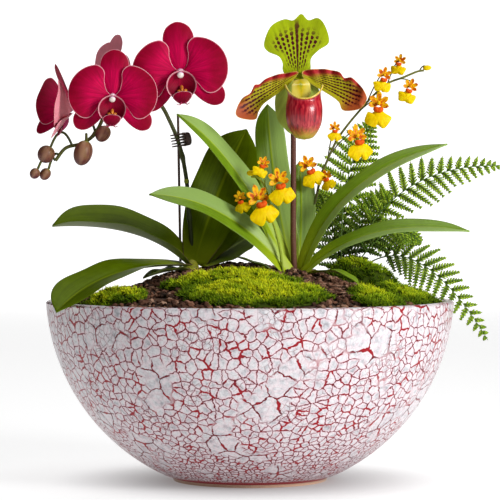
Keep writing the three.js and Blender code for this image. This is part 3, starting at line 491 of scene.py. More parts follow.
def ripple(x, y):
    """A sum of crossed plane waves, from about -1 to 1, for uneven ground."""
    return (np.sin(0.11 * x + 0.05 * y) + np.sin(0.07 * y - 0.09 * x + 1.3)
            + np.sin(0.21 * x + 0.17 * y + 0.4) + np.sin(0.26 * y - 0.12 * x + 2.1)) / 4


dome_share = np.linspace(1, 0, mix_steps)
wall_heights = np.linspace(gravel_top + seat, mix_edge, 24)
mix_profile = np.concatenate([
    [[0, gravel_top + seat]],
    np.stack([wall_inside(wall_heights) - seat, wall_heights], -1),
    np.stack([mix_radius * dome_share, mix_edge + mix_rise * (1 - dome_share**2)], -1)[1:],
])
mix_points, mix_faces = lathe(mix_profile, 180)
on_dome = np.arange(len(mix_points)) >= 25 * 180
share = np.hypot(mix_points[:, 0], mix_points[:, 1]) / mix_radius
mix_points[:, 2] -= np.where(on_dome, (0.8 + 0.8 * ripple(*mix_points[:, :2].T)) * (1 - share**8), 0)
mix = make_piece("potting_mix_body", mix_points, mix_faces, weld=True)
plants = {
    "moth_orchid": dict(place=(-52, 5), radius=40, depth=95),
    "slipper_orchid": dict(place=(39, -15), radius=38, depth=90),
    "fern": dict(place=(84, 60), radius=30, depth=70),
}
root_taper = 0.7
root_shoulder = 0.35
stake_top = (-62, 5.2, 313.4)
stake_slope = (-0.0128, -0.12)
stake_reach = 240
stake_room = 1.5
crown_bare = 4
hollows = []
for name, plant in plants.items():
    plant["top"] = float(mix_top(*plant["place"]))
    root_paint = grain_material(name + "_roots", 0.0035, (0.012, 0.006, 0.003), (0.10, 0.045, 0.022))
    height = put("ShaderNodeSeparateXYZ", {0: own_place()}).outputs["Z"]
    crown_share = fade(height, plant["top"] * MM, (plant["top"] + crown_bare) * MM)
    grainy = shader.inputs["Base Color"].links[0].from_socket
    feed(blend(crown_share, grainy, (0.36, 0.40, 0.02)))
    finish_node(name + "_root_ball", root_paint)
    points, faces = lathe([
        (0, -plant["depth"] - seat),
        (plant["radius"] * root_taper + seat, -plant["depth"] - seat),
        (plant["radius"] + seat, -plant["depth"] * root_shoulder),
        (plant["radius"] + seat, mix_rise),
        (0, mix_rise),
    ], 64)
    hollows.append((points + [*plant["place"], plant["top"]], faces))
points, faces = lathe([(0, -stake_reach), (stake_room, -stake_reach), (stake_room, 0), (0, 0)], 16)
points[:, :2] += points[:, 2:] * stake_slope
hollows.append((points + stake_top, faces))
for points, faces in hollows:
    cut_away(mix, points, faces)
mix.data.materials.append(mix_paint)
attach(mix, "planter")
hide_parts("potting_mix")

golden = (1 + math.sqrt(5)) / 2
chunk_points = np.array([
    (-1, golden, 0), (1, golden, 0), (-1, -golden, 0), (1, -golden, 0),
    (0, -1, golden), (0, 1, golden), (0, -1, -golden), (0, 1, -golden),
    (golden, 0, -1), (golden, 0, 1), (-golden, 0, -1), (-golden, 0, 1),
]) / math.hypot(1, golden)
chunk_faces = np.array([
    (0, 11, 5), (0, 5, 1), (0, 1, 7), (0, 7, 10), (0, 10, 11), (1, 5, 9), (5, 11, 4),
    (11, 10, 2), (10, 7, 6), (7, 1, 8), (3, 9, 4), (3, 4, 2), (3, 2, 6), (3, 6, 8),
    (3, 8, 9), (4, 9, 5), (2, 4, 11), (6, 2, 10), (8, 6, 7), (9, 8, 1),
])


def many(points, faces, count):
    """The faces of count copies of a shape whose points follow one another."""
    return (faces[None] + points * np.arange(count)[:, None, None]).reshape(-1, faces.shape[1])


def turned(points, turn, tilt):
    """Copies of points, each tilted about X and then turned about Z by its own two angles."""
    ct, st = np.cos(tilt)[:, None], np.sin(tilt)[:, None]
    cz, sz = np.cos(turn)[:, None], np.sin(turn)[:, None]
    x, y, z = points[..., 0], points[..., 1], points[..., 2]
    y, z = y * ct - z * st, y * st + z * ct
    return np.stack([x * cz - y * sz, x * sz + y * cz, z], -1)


def scatter(draw, count, reach):
    """Even random places on a disc of this reach."""
    radius = reach * np.sqrt(draw.random(count))
    angle = draw.random(count) * 2 * math.pi
    return radius * np.cos(angle), radius * np.sin(angle)


def chunks(draw, x, y, z, size, squash, long=1.0):
    """Lumps with twenty faces at the given places, each stretched, dented and turned by chance.
    Returns points, faces and a tone for each point."""
    count = len(x)
    dent = 1 + 0.5 * (draw.random((count, 12)) - 0.5)
    shape = chunk_points[None] * dent[..., None]
    breadth = size * (0.7 + 0.4 * draw.random(count))
    shape = shape * np.stack([size * long, breadth, size * squash], -1)[:, None]
    shape = turned(shape, draw.random(count) * 2 * math.pi, (draw.random(count) - 0.5) * 1.2)
    shape = shape + np.stack([x, y, z], -1)[:, None]
    tone = np.repeat(draw.random(count), 12)
    grain = np.stack([tone, np.repeat(draw.random(count), 12), 0 * tone], -1)
    return shape.reshape(-1, 3), many(12, chunk_faces, count), {"grain": grain}


moss_cushions = {
    "front": (6, -112, 62, 34, 0, 7),
    "middle": (-16, -62, 58, 24, -4, 9),
    "left": (-112, -78, 30, 20, -40, 7),
    "right_front": (103, -92, 22, 30, 20, 7),
    "right": (134, -30, 24, 44, 12, 7),
    "hill": (98, 28, 36, 24, 12, 21),
    "back": (-20, 104, 60, 36, 4, 7),
}
bark_place = (63, -78, 34, 20, -30, 3)
edge_wave = 0.08


def from_oval(oval, x, y):
    """How far along and across an oval a place lies from its middle."""
    a = math.radians(oval[4])
    x, y = x - oval[0], y - oval[1]
    return x * math.cos(a) + y * math.sin(a), y * math.cos(a) - x * math.sin(a)


def on_oval(oval, along, across):
    """The place that lies this far along and across an oval from its middle."""
    a = math.radians(oval[4])
    return (oval[0] + along * math.cos(a) - across * math.sin(a),
            oval[1] + along * math.sin(a) + across * math.cos(a))


def mound_share(x, y, cushion):
    """How far out a place lies on a cushion: 0 in its middle, 1 on its wavy edge."""
    along, across = from_oval(cushion, x, y)
    along, across = along / cushion[2], across / cushion[3]
    wave = 1 + edge_wave * np.sin(3 * np.arctan2(across, along) + cushion[0])
    return np.hypot(along, across) / wave


draw = np.random.default_rng(11)
grain_x, grain_y = scatter(draw, 5200, mix_radius - 3.5)
bare = np.min([mound_share(grain_x, grain_y, cushion) for cushion in moss_cushions.values()], 0) > 0.93
grain_x, grain_y = grain_x[bare], grain_y[bare]
grain_size = 1.0 + 2.6 * draw.random(len(grain_x)) ** 2
grain_lift = 0.15 * grain_size
heaps = [(-52, 5, 44, 8.5), (39, -15, 44, 8.5), (84, 60, 44, 7), (-14, 30, 52, 12), (34, 34, 44, 10)]
heap_x, heap_y, heap_lift = [], [], []
for x, y, heap_reach, heap_height in heaps:
    out_x, out_y = scatter(draw, 1700, heap_reach)
    slope = (1 - (out_x**2 + out_y**2) / heap_reach**2) ** 0.8
    heap_x.append(x + out_x)
    heap_y.append(y + out_y)
    heap_lift.append(heap_height * slope * draw.random(len(slope)) ** 0.35)
heap_x, heap_y, heap_lift = (np.concatenate(part) for part in (heap_x, heap_y, heap_lift))
clear = np.min([mound_share(heap_x, heap_y, cushion) for cushion in moss_cushions.values()], 0) > 0.9
grain_x = np.concatenate([grain_x, heap_x[clear]])
grain_y = np.concatenate([grain_y, heap_y[clear]])
grain_lift = np.concatenate([grain_lift, heap_lift[clear]])
grain_size = np.concatenate([grain_size, 1.2 + 1.7 * draw.random(int(clear.sum())) ** 2])
grains = make_piece("mix_grains", *chunks(
    draw, grain_x, grain_y, mix_top(grain_x, grain_y) + grain_lift, grain_size, 0.75), smooth=False)

nugget_size = (6, 4.6, 2.6)
nugget_spacing = 24
nugget_margin = 8
golden_turn = math.pi * (3 - math.sqrt(5))
nugget_count = round(math.pi * (mix_radius / nugget_spacing) ** 2)
order = np.arange(1, nugget_count + 1)
nugget_reach = mix_radius * np.sqrt(order / nugget_count)
nugget_x = nugget_reach * np.cos(order * golden_turn)
nugget_y = nugget_reach * np.sin(order * golden_turn)
covers = list(moss_cushions.values()) + [bark_place]


def cover_share(x, y, cover):
    """As mound_share, with straight ovals grown by the lumps' margin."""
    along, across = from_oval(cover, x, y)
    return np.hypot(along / (cover[2] + nugget_margin), across / (cover[3] + nugget_margin))


bare = np.min([cover_share(nugget_x, nugget_y, cover) for cover in covers], 0) > 1
bare &= nugget_reach < mix_radius - nugget_margin
for plant in plants.values():
    away = np.hypot(nugget_x - plant["place"][0], nugget_y - plant["place"][1])
    bare &= away > plant["radius"] + nugget_margin
nugget_x, nugget_y, order = nugget_x[bare], nugget_y[bare], order[bare]
dent = 1 + 0.35 * (draw.random((len(order), 12)) - 0.5)
shape = turned(chunk_points[None] * dent[..., None] * nugget_size, 2 * order * golden_turn, 0 * order)
shape = shape + np.stack([nugget_x, nugget_y, mix_top(nugget_x, nugget_y)], -1)[:, None]
tone = np.repeat(draw.random((len(order), 1)) * [1, 1, 0], 12, 0)
nuggets = make_piece(
    "mix_lumps", shape.reshape(-1, 3), many(12, chunk_faces, len(order)), {"grain": tone}, smooth=False)
grain_paint = new_material("bark_and_peat", Roughness=0.85, Specular_IOR_Level=0.2)
tone = put("ShaderNodeAttribute", attribute_name="grain").outputs["Vector"]
shade = put("ShaderNodeSeparateXYZ", {0: tone}).outputs["X"]
shade = plus(times(shade, 0.75), times(noise(500), 0.35))
grain_colour = ramp(shade, [
    (0.15, (0.016, 0.009, 0.006)),
    (0.45, (0.080, 0.034, 0.019)),
    (0.75, (0.22, 0.10, 0.058)),
    (0.95, (0.40, 0.25, 0.17)),
])
feed(grain_colour)
bumps(noise(900), 0.6, 0.0005)
for piece in (grains, nuggets):
    piece.data.materials.append(grain_paint)
    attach(piece, "planter")

# Bark shreds
# Coarse shreds of bark lie loosely on the mix at the right front, where they keep it from drying.
draw = np.random.default_rng(12)
bark_x, bark_y = scatter(draw, 900, 1.0)
bark_x, bark_y = on_oval(bark_place, bark_x * bark_place[2], bark_y * bark_place[3])
clear = np.min([mound_share(bark_x, bark_y, cushion) for cushion in moss_cushions.values()], 0) > 0.97
bark_x, bark_y = bark_x[clear], bark_y[clear]
bark_size = 0.8 + 1.1 * draw.random(len(bark_x))
bark_lift = 0.4 + 3.2 * draw.random(len(bark_x))
shreds = make_piece("bark_shreds", *chunks(
    draw, bark_x, bark_y, mix_top(bark_x, bark_y) + bark_lift, bark_size, 0.5, 2.6), smooth=False)
shreds.data.materials.append(grain_paint)
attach(shreds, "planter")
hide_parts("bark_chips")

# Moss
# Cushions of living moss are pressed on to the mix. Each is a low mound of thousands of sprigs, and
# each sprig is a star of thin pointed leaves, yellow-green at its tips and darker at its base. The
# near-black feet and the dark mound under the sprigs are partly painted shade deep in the cushion;
# each cushion darkens towards its edge as painted shade, and the cushions furthest east are painted
# darker as shade.
needles = 6
needle_middle = 0.36
needle_half = 0.58
sprig_depth = 0.9
clump_height = 3.2
edge_shade_from = 0.62
shade_from = 90
shade_tone = 0.34
needle_faces = np.array([(0, 2, 1), (0, 3, 2), (0, 1, 3), (4, 1, 2), (4, 2, 3), (4, 3, 1)])


def unit(vectors):
    """The same directions, each of length 1."""
    return vectors / np.linalg.norm(vectors, axis=-1, keepdims=True)


def mound_height(x, y, cushion):
    """A cushion's upper face: its height over the mix falls from the middle to a rounded edge."""
    share = np.minimum(mound_share(x, y, cushion), 1)
    return mix_top(x, y) + seat + 1 + (cushion[5] - 1) * (1 - share**2.5)


def mound(cushion, rows=20, columns=72):
    """A closed body from the mix up to the cushion's upper face, on rings from its middle out."""
    angle = np.linspace(0, 2 * math.pi, columns, endpoint=False)
    share = np.linspace(0, 1, rows)[:, None]
    wave = share * (1 + edge_wave * np.sin(3 * angle + cushion[0]))
    along, across = wave * cushion[2] * np.cos(angle), wave * cushion[3] * np.sin(angle)
    east, north = on_oval(cushion, along, across)
    reach = np.hypot(east, north)
    held = np.minimum(1, (wall_inside(mix_edge) - 1.2) / np.maximum(reach, 1))
    east, north = east * held, north * held
    top = mix_top(east, north) + seat + 1 + (cushion[5] - 1) * (1 - share**2.5)
    top = top + 0.35 * ripple(5 * east, 5 * north) * (1 - share)
    under = mix_top(east, north) + seat
    points = np.concatenate([
        np.stack([east, north, top], -1),
        np.stack([east, north, under], -1)[::-1],
    ])
    return points.reshape(-1, 3), grid_faces(2 * rows, columns)


def sprigs(draw, cushion, density=0.20):
    """Stars of needles over a cushion. Each needle is a spindle of six faces from its foot to its
    tip, widest a third of the way up. Returns points, faces and the tone of each point."""
    x, _, long, short, _, _ = cushion
    count = int(math.pi * long * short * 1.1 * density)
    dot_x, dot_y = scatter(draw, count, 1.06)
    east, north = on_oval(cushion, dot_x * long, dot_y * short)
    kept = (mound_share(east, north, cushion) < 1) & (np.hypot(east, north) < wall_inside(mix_edge) - 3.2)
    east, north = east[kept], north[kept]
    count = len(east)
    step = 0.5

    def top(x, y):
        """The cushion's upper face at this place."""
        return mound_height(x, y, cushion)

    slope_x = (top(east + step, north) - top(east - step, north)) / (2 * step)
    slope_y = (top(east, north + step) - top(east, north - step)) / (2 * step)
    lift = clump_height * np.clip(ripple(2.2 * east, 2.2 * north), -0.45, 0.5)
    foot = np.stack([east, north, top(east, north) - sprig_depth + lift], -1)
    up = unit(np.stack([-0.8 * slope_x, -0.8 * slope_y, np.ones(count)], -1))
    angle = draw.random((count, 1)) * 2 * math.pi + np.arange(needles) * 2 * math.pi / needles
    angle = angle + 0.5 * draw.random((count, needles))
    lean = 0.25 + 0.85 * draw.random((count, needles))
    out = np.stack([np.cos(angle), np.sin(angle), 0 * angle], -1)
    out = out - up[:, None] * np.sum(out * up[:, None], -1, keepdims=True)
    aim = up[:, None] * np.cos(lean)[..., None] + out * np.sin(lean)[..., None]
    length = (3.2 + 2.8 * draw.random(count))[:, None, None] * (0.75 + 0.5 * draw.random((count, needles, 1)))
    side = np.cross(aim, up[:, None] + [0.01, 0, 0])
    side /= np.maximum(np.linalg.norm(side, axis=-1, keepdims=True), 1e-6)
    other = np.cross(aim, side)
    start = foot[:, None]
    middle = start + aim * length * needle_middle
    parts = [start + 0 * aim]
    for corner in range(3):
        turn_angle = 2 * math.pi * corner / 3
        parts.append(middle + needle_half * (side * math.cos(turn_angle) + other * math.sin(turn_angle)))
    parts.append(start + aim * length)
    points = np.stack(parts, 2).reshape(-1, 3)
    sprig_tone = np.repeat(draw.random(count), needles * 5)
    rise = np.tile([0, 0.4, 0.4, 0.4, 1.0], count * needles)
    # Painted shade: sprigs darken towards each cushion's edge, where the cushions meet.
    edge_shade = np.clip((mound_share(east, north, cushion) - edge_shade_from) / (1 - edge_shade_from), 0, 1)
    # Painted shade: a cushion whose middle lies east of shade_from is darker as a whole.
    shade = shade_tone * (x > shade_from)
    patch_tone = np.repeat(0.66 - shade + 0.45 * ripple(east * 1.2, north * 1.2) - 0.8 * edge_shade, needles * 5)
    return points, many(5, needle_faces, count * needles), np.stack([rise, sprig_tone, patch_tone], -1)


def lit_through(weight, radius, scale):
    """The values for a skin into which some light sinks."""
    return dict(Subsurface_Weight=weight, Subsurface_Radius=radius, Subsurface_Scale=scale)


moss_paint = new_material(
    "living_moss", Roughness=0.75, Specular_IOR_Level=0.15, **lit_through(0.12, (0.3, 0.5, 0.1), 0.002))
moss = put("ShaderNodeAttribute", attribute_name="moss").outputs["Vector"]
moss = put("ShaderNodeSeparateXYZ", {0: moss})
# The near-black foot of each needle is partly its own darker base and partly painted shade deep in the
# cushion.
rise = ramp(moss.outputs["X"], [
    (0.0, (0.002, 0.005, 0.0003)),
    (0.4, (0.20, 0.29, 0.002)),
    (1.0, (0.88, 1.0, 0.03)),
])
sprig_tone = ramp(moss.outputs["Y"], [(0.0, (0.50, 0.58, 0.4)), (0.6, (1, 1, 1)), (1.0, (1.3, 1.15, 0.8))])
patch_tone = ramp(moss.outputs["Z"], [
    (0.0, (0.22, 0.32, 0.2)), (0.3, (0.66, 0.78, 0.6)), (0.6, (1.15, 1.08, 1.0)),
])
moss_colour = blend(1.0, rise, sprig_tone, "MULTIPLY")
moss_colour = blend(1.0, moss_colour, patch_tone, "MULTIPLY")
feed(moss_colour)

draw = np.random.default_rng(13)
for name, cushion in moss_cushions.items():
    base_points, base_faces = mound(cushion)
    # The mound under the sprigs is painted dark, as shade between them.
    base_tone = np.tile([0.12, 0.4, 0.4], (len(base_points), 1))
    sprig_points, sprig_faces, sprig_tones = sprigs(draw, cushion)
    base = make_piece("moss_base_" + name, base_points, base_faces, {"moss": base_tone}, weld=True)
    tufts = make_piece("moss_sprigs_" + name, sprig_points, sprig_faces, {"moss": sprig_tones}, smooth=False)
    for piece in (base, tufts):
        piece.data.materials.append(moss_paint)
        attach(piece, "planter")
    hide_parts("moss_" + name)
    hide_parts("moss_" + name)

# Moth orchid leaves
# Six thick, leathery leaves rise from the orchid's crown, folded along the middle. They are dark green
# with paler undersides, yellow-green at the base, and carry faint lengthwise veins.
def quadratic(base, bend, tip, t):
    """Points and directions of a curve that leaves base towards bend and ends at tip."""
    base, bend, tip = (np.array(p, float) for p in (base, bend, tip))
    t = t[:, None]
    points = (1 - t) ** 2 * base + 2 * t * (1 - t) * bend + t**2 * tip
    along = 2 * (1 - t) * (bend - base) + 2 * t * (tip - bend)
    return points, unit(along)


def swell(t, base_share, widest, tip_power):
    """A blade's width along its length: it grows as a sine from base_share to 1 at widest, and then
    falls as a cosine of a power of what is left."""
    past = np.clip((t - widest) / (1 - widest), 0, 1)
    before = base_share + (1 - base_share) * np.sin(math.pi / 2 * np.minimum(t / widest, 1))
    return np.where(t < widest, before, np.maximum(np.cos(math.pi / 2 * past**tip_power), 0.03))


def blade(base, bend, tip, width, face, base_share=0.35, widest=0.45, tip_power=2.0, fold=0.25,
          thickness=1.1, groove=0.0, wave=None, size=(40, 28), origin=(0, 0, 0)):
    """A leaf or petal on a grid of length by girth. Its middle line is a quadratic curve, its half
    width follows swell, its section is a thin lens, and its sides lift by fold times their distance
    from the middle. groove sinks the middle line, and wave gives (lift, widening) at each place. Its
    attribute holds the place across, along, and the nearness to the edge, negative on the back."""
    rows, columns = size
    t = np.concatenate([[0], np.linspace(0, 1, rows) ** 0.9, [1]])
    middle, along = quadratic(base, bend, tip, t)
    side = unit(np.cross(along, np.array(face, float)))
    out = np.cross(side, along)
    angle = np.linspace(0, 2 * math.pi, columns, endpoint=False)
    u = np.cos(angle)[None] + 0 * t[:, None]
    layer = np.sin(angle)[None] + 0 * t[:, None]
    half = (width / 2 * swell(t, base_share, widest, tip_power))[:, None] + 0 * u
    lift = 0 * u
    if wave is not None:
        rise, widening = wave(t[:, None] + 0 * u, u)
        lift, half = lift + rise, half * (1 + widening)
    lift = lift + fold * np.abs(u) * half + thickness / 2 * layer
    lift = lift - groove * np.exp(-((u / 0.10) ** 2)) * (0.4 + 0.6 * layer)
    half[[0, -1]], lift[[0, -1]] = 0, 0
    points = middle[:, None] + side[:, None] * (u * half)[..., None] + out[:, None] * lift[..., None]
    long = t[:, None] + 0 * u
    edge = np.clip(np.maximum(np.abs(u), long**8), 0.05, 1) * np.where(layer < -1e-6, -1, 1)
    span = np.stack([u, long, edge], -1).reshape(-1, 3)
    return points.reshape(-1, 3) + np.array(origin, float), grid_faces(rows + 2, columns), {"blade": span}


def joined(*shapes):
    """Several shapes in one: their points, faces and attributes one after another."""
    points, faces, spans, start = [], [], {}, 0
    for shape_points, shape_faces, shape_spans in shapes:
        points.append(shape_points)
        faces.append(shape_faces + start)
        start += len(shape_points)
        for label, values in shape_spans.items():
            spans.setdefault(label, []).append(values)
    return np.concatenate(points), np.concatenate(faces), {
        label: np.concatenate(values) for label, values in spans.items()}


def add_piece(name, shape, material, node, body="planter", weld=True):
    """Puts a shape in place of a node of the frame, on its body and with its finish."""
    piece = make_piece(name, *shape, weld=weld)
    piece.data.materials.append(material)
    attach(piece, body)
    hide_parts(node)
    return piece


def blade_coordinates():
    """Across, from -1 to 1, along, from 0 to 1, and nearness to the edge, which is negative on the
    back, of a blade."""
    vector = put("ShaderNodeAttribute", attribute_name="blade").outputs["Vector"]
    split = put("ShaderNodeSeparateXYZ", {0: vector})
    return split.outputs["X"], split.outputs["Y"], split.outputs["Z"]


def veins(across, along, count, stretch=2.0):
    """Uneven lines along a blade: noise squeezed across it count times and drawn out along it."""
    place = put("ShaderNodeCombineXYZ", {
        0: times(across, count), 1: times(along, stretch),
    })
    return noise(1.0, 3.0, 0.6, place.outputs[0])


def leaf_material(name, upper, under, base, vein_count=14, base_reach=0.22, gloss=0.05, edge=None, pale=None):
    """A leaf's skin: upper and under colours, a paler middle line, a base colour that fades out
    along the leaf, fine lengthwise veins, mottling and a waxy coat. Where pale is given, one half of
    the upper face is lightened by it as a painted sheen."""
    made = new_material(name, Roughness=0.38, Specular_IOR_Level=gloss)
    across, along, layer = blade_coordinates()
    line = veins(across, along, vein_count)
    mottle = noise(120, 4.0, 0.6)
    top = ramp(plus(times(line, 0.6), times(mottle, 0.4)),
               [(0.3, tuple(0.72 * c for c in upper)), (0.7, tuple(1.3 * c for c in upper))])
    # pale lightens one half of the upper face as a painted sheen, where light catches the folded leaf.
    if pale:
        top = blend(times(fade(across, -0.02, 0.06), 0.75), top, pale)
    both = blend(fade(layer, -0.02, 0.02), under, top)
    midrib = fade(maths("ABSOLUTE", across), 0.07, 0.02)
    both = blend(times(midrib, 0.45), both, base)
    near = fade(plus(along, times(mottle, 0.1)), base_reach + 0.12, 0.06)
    both = blend(times(near, 0.85), both, base)
    if edge:
        rim = fade(maths("ABSOLUTE", across), 0.90, 0.985)
        both = blend(times(rim, times(near, 0.8)), both, edge)
    feed(both)
    bumps(line, 0.35, 0.0006)
    return made


def leaf_wave(seed, lift, ripples=2.3):
    """A slow wave of a leaf's sides, stronger towards the edge."""
    def wave(t, u):
        rise = lift * u * np.sin(2 * math.pi * ripples * t + seed + 1.2 * np.sign(u)) * np.sin(math.pi * t)
        return rise, 0.012 * np.sin(17 * t + seed) * np.sin(math.pi * t)
    return wave


moth_place = (*plants["moth_orchid"]["place"], plants["moth_orchid"]["top"])
dark_leaf = leaf_material(
    "moth_orchid_leaf", (0.080, 0.125, 0.0), (0.18, 0.23, 0.06), (0.27, 0.34, 0.01),
    edge=(0.16, 0.05, 0.09))
moth_leaves = [
    dict(base=(-3, -5, 12), bend=(-71, -64, 17), tip=(-106, -118, -23), width=44, face=(0.1, -0.1, 1)),
    dict(base=(-2, -10, 8), bend=(-15, -21, 11), tip=(-39, -29, 2), width=20, face=(0, 0, 1)),
    dict(base=(9, 3, 12), bend=(26, 22, 20), tip=(50, 45, 35), width=34, face=(0, -0.8, 1), widest=0.6),
    dict(base=(-2, 0, 13), bend=(-40, -11, 51), tip=(-117, -19, 46), width=50, face=(0, -0.3, 1),
         fold=0.5, tip_power=3.4),
    dict(base=(6, 7, 14), bend=(33, 43, 58), tip=(63, 55, 108), width=44, face=(0.2, -1, 0.4)),
    dict(base=(4, 3, 13), bend=(18, 30, 67), tip=(49, 35, 130), width=48, face=(0.1, -1, 0.2)),
]
for number, leaf in enumerate(moth_leaves, 1):
    shape = blade(**{
        **dict(widest=0.5, tip_power=2.9, base_share=0.42, thickness=1.8, groove=0.7, size=(56, 40)), **leaf,
    }, wave=leaf_wave(number, 0.9), origin=moth_place)
    node = f"moth_orchid_leaf_{number}"
    add_piece(node + "_blade", shape, dark_leaf, node)

# Moth orchid spike
# One dark olive flower spike rises from the crown, leans on its stake and arches over to the left. It
# is jointed like bamboo, and every flower and bud hangs from it on its own thin stalk.
def spline(a, b, c, d, end, steps, open_ended=True):
    """A Catmull-Rom curve from each b to its c, with a before and d after them, that stops at end.
    It is resampled evenly along its length."""
    a, b, c, d = a[:, None], b[:, None], c[:, None], d[:, None]
    t = np.linspace(0, 1, 12, endpoint=False)[None, :, None]
    curve = 0.5 * (2 * b + (c - a) * t + (2 * a - 5 * b + 4 * c - d) * t**2 + (3 * b - a - 3 * c + d) * t**3)
    curve = np.concatenate([curve.reshape(-1, end.shape[1]), end])
    length = np.concatenate([[0], np.cumsum(np.linalg.norm(np.diff(curve, axis=0), axis=1))])
    even = np.linspace(0, length[-1], steps, endpoint=open_ended)
    return np.stack([np.interp(even, length, axis) for axis in curve.T], -1)


def smooth_route(points, steps):
    """An evenly stepped smooth curve through the points."""
    p = np.array(points, float)
    p = np.concatenate([[2 * p[0] - p[1]], p, [2 * p[-1] - p[-2]]])
    return spline(p[:-3], p[1:-2], p[2:-1], p[3:], p[-2:-1], steps)


def tube(route, radius, columns=12, origin=(0, 0, 0)):
    """A closed round stem along a route. radius is one size or one for each point; each ring lies
    square to the route, turned as little as may be from the one before."""
    middle = np.array(route, float)
    along = unit(np.gradient(middle, axis=0))
    reference = np.array([1.0, 0.2, 0.1]) if abs(along[0][0]) < 0.8 else np.array([0.1, 1.0, 0.2])
    side = unit(np.cross(along, reference))
    other = np.cross(along, side)
    angle = np.linspace(0, 2 * math.pi, columns, endpoint=False)
    radius = (np.zeros(len(middle)) + radius)[:, None, None]
    ring = radius * (side[:, None] * np.cos(angle)[:, None] + other[:, None] * np.sin(angle)[:, None])
    pole = 0 * ring[:1]
    points = np.concatenate([middle[:1, None] + pole, middle[:, None] + ring, middle[-1:, None] + pole])
    run = np.linspace(0, 1, len(middle))
    run = np.concatenate([[0], run, [1]])[:, None] + 0 * angle
    turn = angle + 0 * run
    span = np.stack([np.cos(turn), run, np.sin(turn)], -1).reshape(-1, 3)
    faces = grid_faces(len(middle) + 2, columns)
    return points.reshape(-1, 3) + np.array(origin, float), faces, {"blade": span}


def jointed(steps, thick, nodes, swelling=0.35, reach=0.012):
    """A stem's radius along its length: it tapers by a quarter and swells at each of its nodes."""
    run = np.linspace(0, 1, steps)
    radius = thick * (1.08 - 0.25 * run)
    for node in nodes:
        radius = radius * (1 + swelling * np.exp(-(((run - node) / reach) ** 2)))
    return radius


def stem_material(name, low, high, speckle, rough=0.42):
    """A stem's skin: one colour low down, another high up, with fine streaks and speckles."""
    made = new_material(name, Roughness=rough, Specular_IOR_Level=0.2)
    along = blade_coordinates()[1]
    body = blend(fade(along, 0.1, 0.9), low, high)
    freckle = fade(noise(700, 2.0), 0.56, 0.68)
    body = blend(times(freckle, 0.6), body, speckle)
    feed(body)
    bumps(noise(500), 0.3, 0.0003)
    return made


spike_steps = 150
spike_radius = 1.8
pedicel_radius = 1.1
spike_route = smooth_route([
    (2, 9, 9), (1, 8, 36), (-1, 4, 62), (-2, 1, 79), (-4, 0, 94), (-7, 0, 109), (-11, -1, 122),
    (-17, -2, 136), (-24, -3, 149), (-36, -3, 161), (-51, -3, 163), (-67, -3, 153), (-80, -5, 127),
    (-92, -6, 117), (-106, -7, 113), (-115, -8, 102),
], spike_steps)
moth_flowers = [
    dict(place=(-7, -29, 176), size=1.08, yaw=0, roll=-5.7, nod=4, leaves_at=0.58, sweep=0.1),
    dict(place=(-64, -39, 155), size=1.0, yaw=0, roll=1, nod=4, leaves_at=0.70, sweep=0.1),
    dict(place=(-101, -6, 145), size=0.9, yaw=-72, roll=6, nod=8, leaves_at=0.84, sweep=0.75),
    dict(place=(-70, 14, 176), size=0.9, yaw=122, roll=-25, nod=-6, leaves_at=0.72, sweep=0.15),
]
moth_buds = [
    dict(neck=(-119, -7, 114), nose=(-127, -8, 101), thick=7.4, arch=12, leaves_at=0.93),
    dict(neck=(-88, -12, 119), nose=(-94, -13, 98), thick=8, arch=6, leaves_at=0.88),
    dict(neck=(-70, -8, 131), nose=(-78, -12, 119), thick=6.2, arch=6, leaves_at=0.80),
    dict(neck=(-130, -9, 95), nose=(-135, -10, 87), thick=4.4, arch=8, leaves_at=1.0),
    dict(neck=(-121, -5, 95), nose=(-127, -4, 86), thick=4.6, arch=6, leaves_at=0.985),
]


def turn_matrix(yaw, roll, nod):
    """A flower's turn: tipped forward by nod, rolled in its own plane, then turned about upright."""
    yaw, roll, nod = (math.radians(a) for a in (yaw, roll, -nod))
    about_x = np.array([[1, 0, 0], [0, math.cos(nod), -math.sin(nod)], [0, math.sin(nod), math.cos(nod)]])
    about_y = np.array([[math.cos(roll), 0, math.sin(roll)], [0, 1, 0], [-math.sin(roll), 0, math.cos(roll)]])
    about_z = np.array([[math.cos(yaw), -math.sin(yaw), 0], [math.sin(yaw), math.cos(yaw), 0], [0, 0, 1]])
    return about_z @ about_y @ about_x


def on_spike(share):
    """The place on the spike at this share of its length."""
    return spike_route[min(int(share * (spike_steps - 1)), spike_steps - 1)]


def stalk(start, end, arch, steps=14):
    """A thin stalk's route from the spike to a neck, arched upwards between them."""
    t = np.linspace(0, 1, steps)[:, None]
    start, end = np.array(start, float), np.array(end, float)
    return (1 - t) * start + t * end + 4 * arch * t * (1 - t) * np.array([0, 0, 1])


neck_bend = 9
spike_nodes = (0.16, 0.36, 0.55, 0.71, 0.84)
stems = [tube(spike_route, jointed(spike_steps, spike_radius, spike_nodes), 16, moth_place)]
for flower in moth_flowers:
    turn = turn_matrix(flower["yaw"], flower["roll"], flower["nod"])
    neck = np.array(flower["place"]) + turn @ np.array([0, 6 * flower["size"], 0])
    start = on_spike(flower["leaves_at"])
    stems.append(tube(stalk(start, neck, neck_bend), pedicel_radius, 10, moth_place))
for bud in moth_buds:
    start = on_spike(bud["leaves_at"])
    stems.append(tube(stalk(start, bud["neck"], bud["arch"]), pedicel_radius, 10, moth_place))
spike_paint = stem_material(
    "flower_spike_skin", (0.040, 0.055, 0.012), (0.10, 0.11, 0.025), (0.03, 0.014, 0.010))
add_piece("moth_orchid_spike_stem", joined(*stems), spike_paint, "moth_orchid_spike")
sheath_height = 84.6
sheath_at = int(np.argmin(np.abs(spike_route[:spike_steps // 2, 2] - sheath_height)))
sheath = tube(spike_route[sheath_at - 1:sheath_at + 2], (2.0, 2.3, 1.9), 16, moth_place)
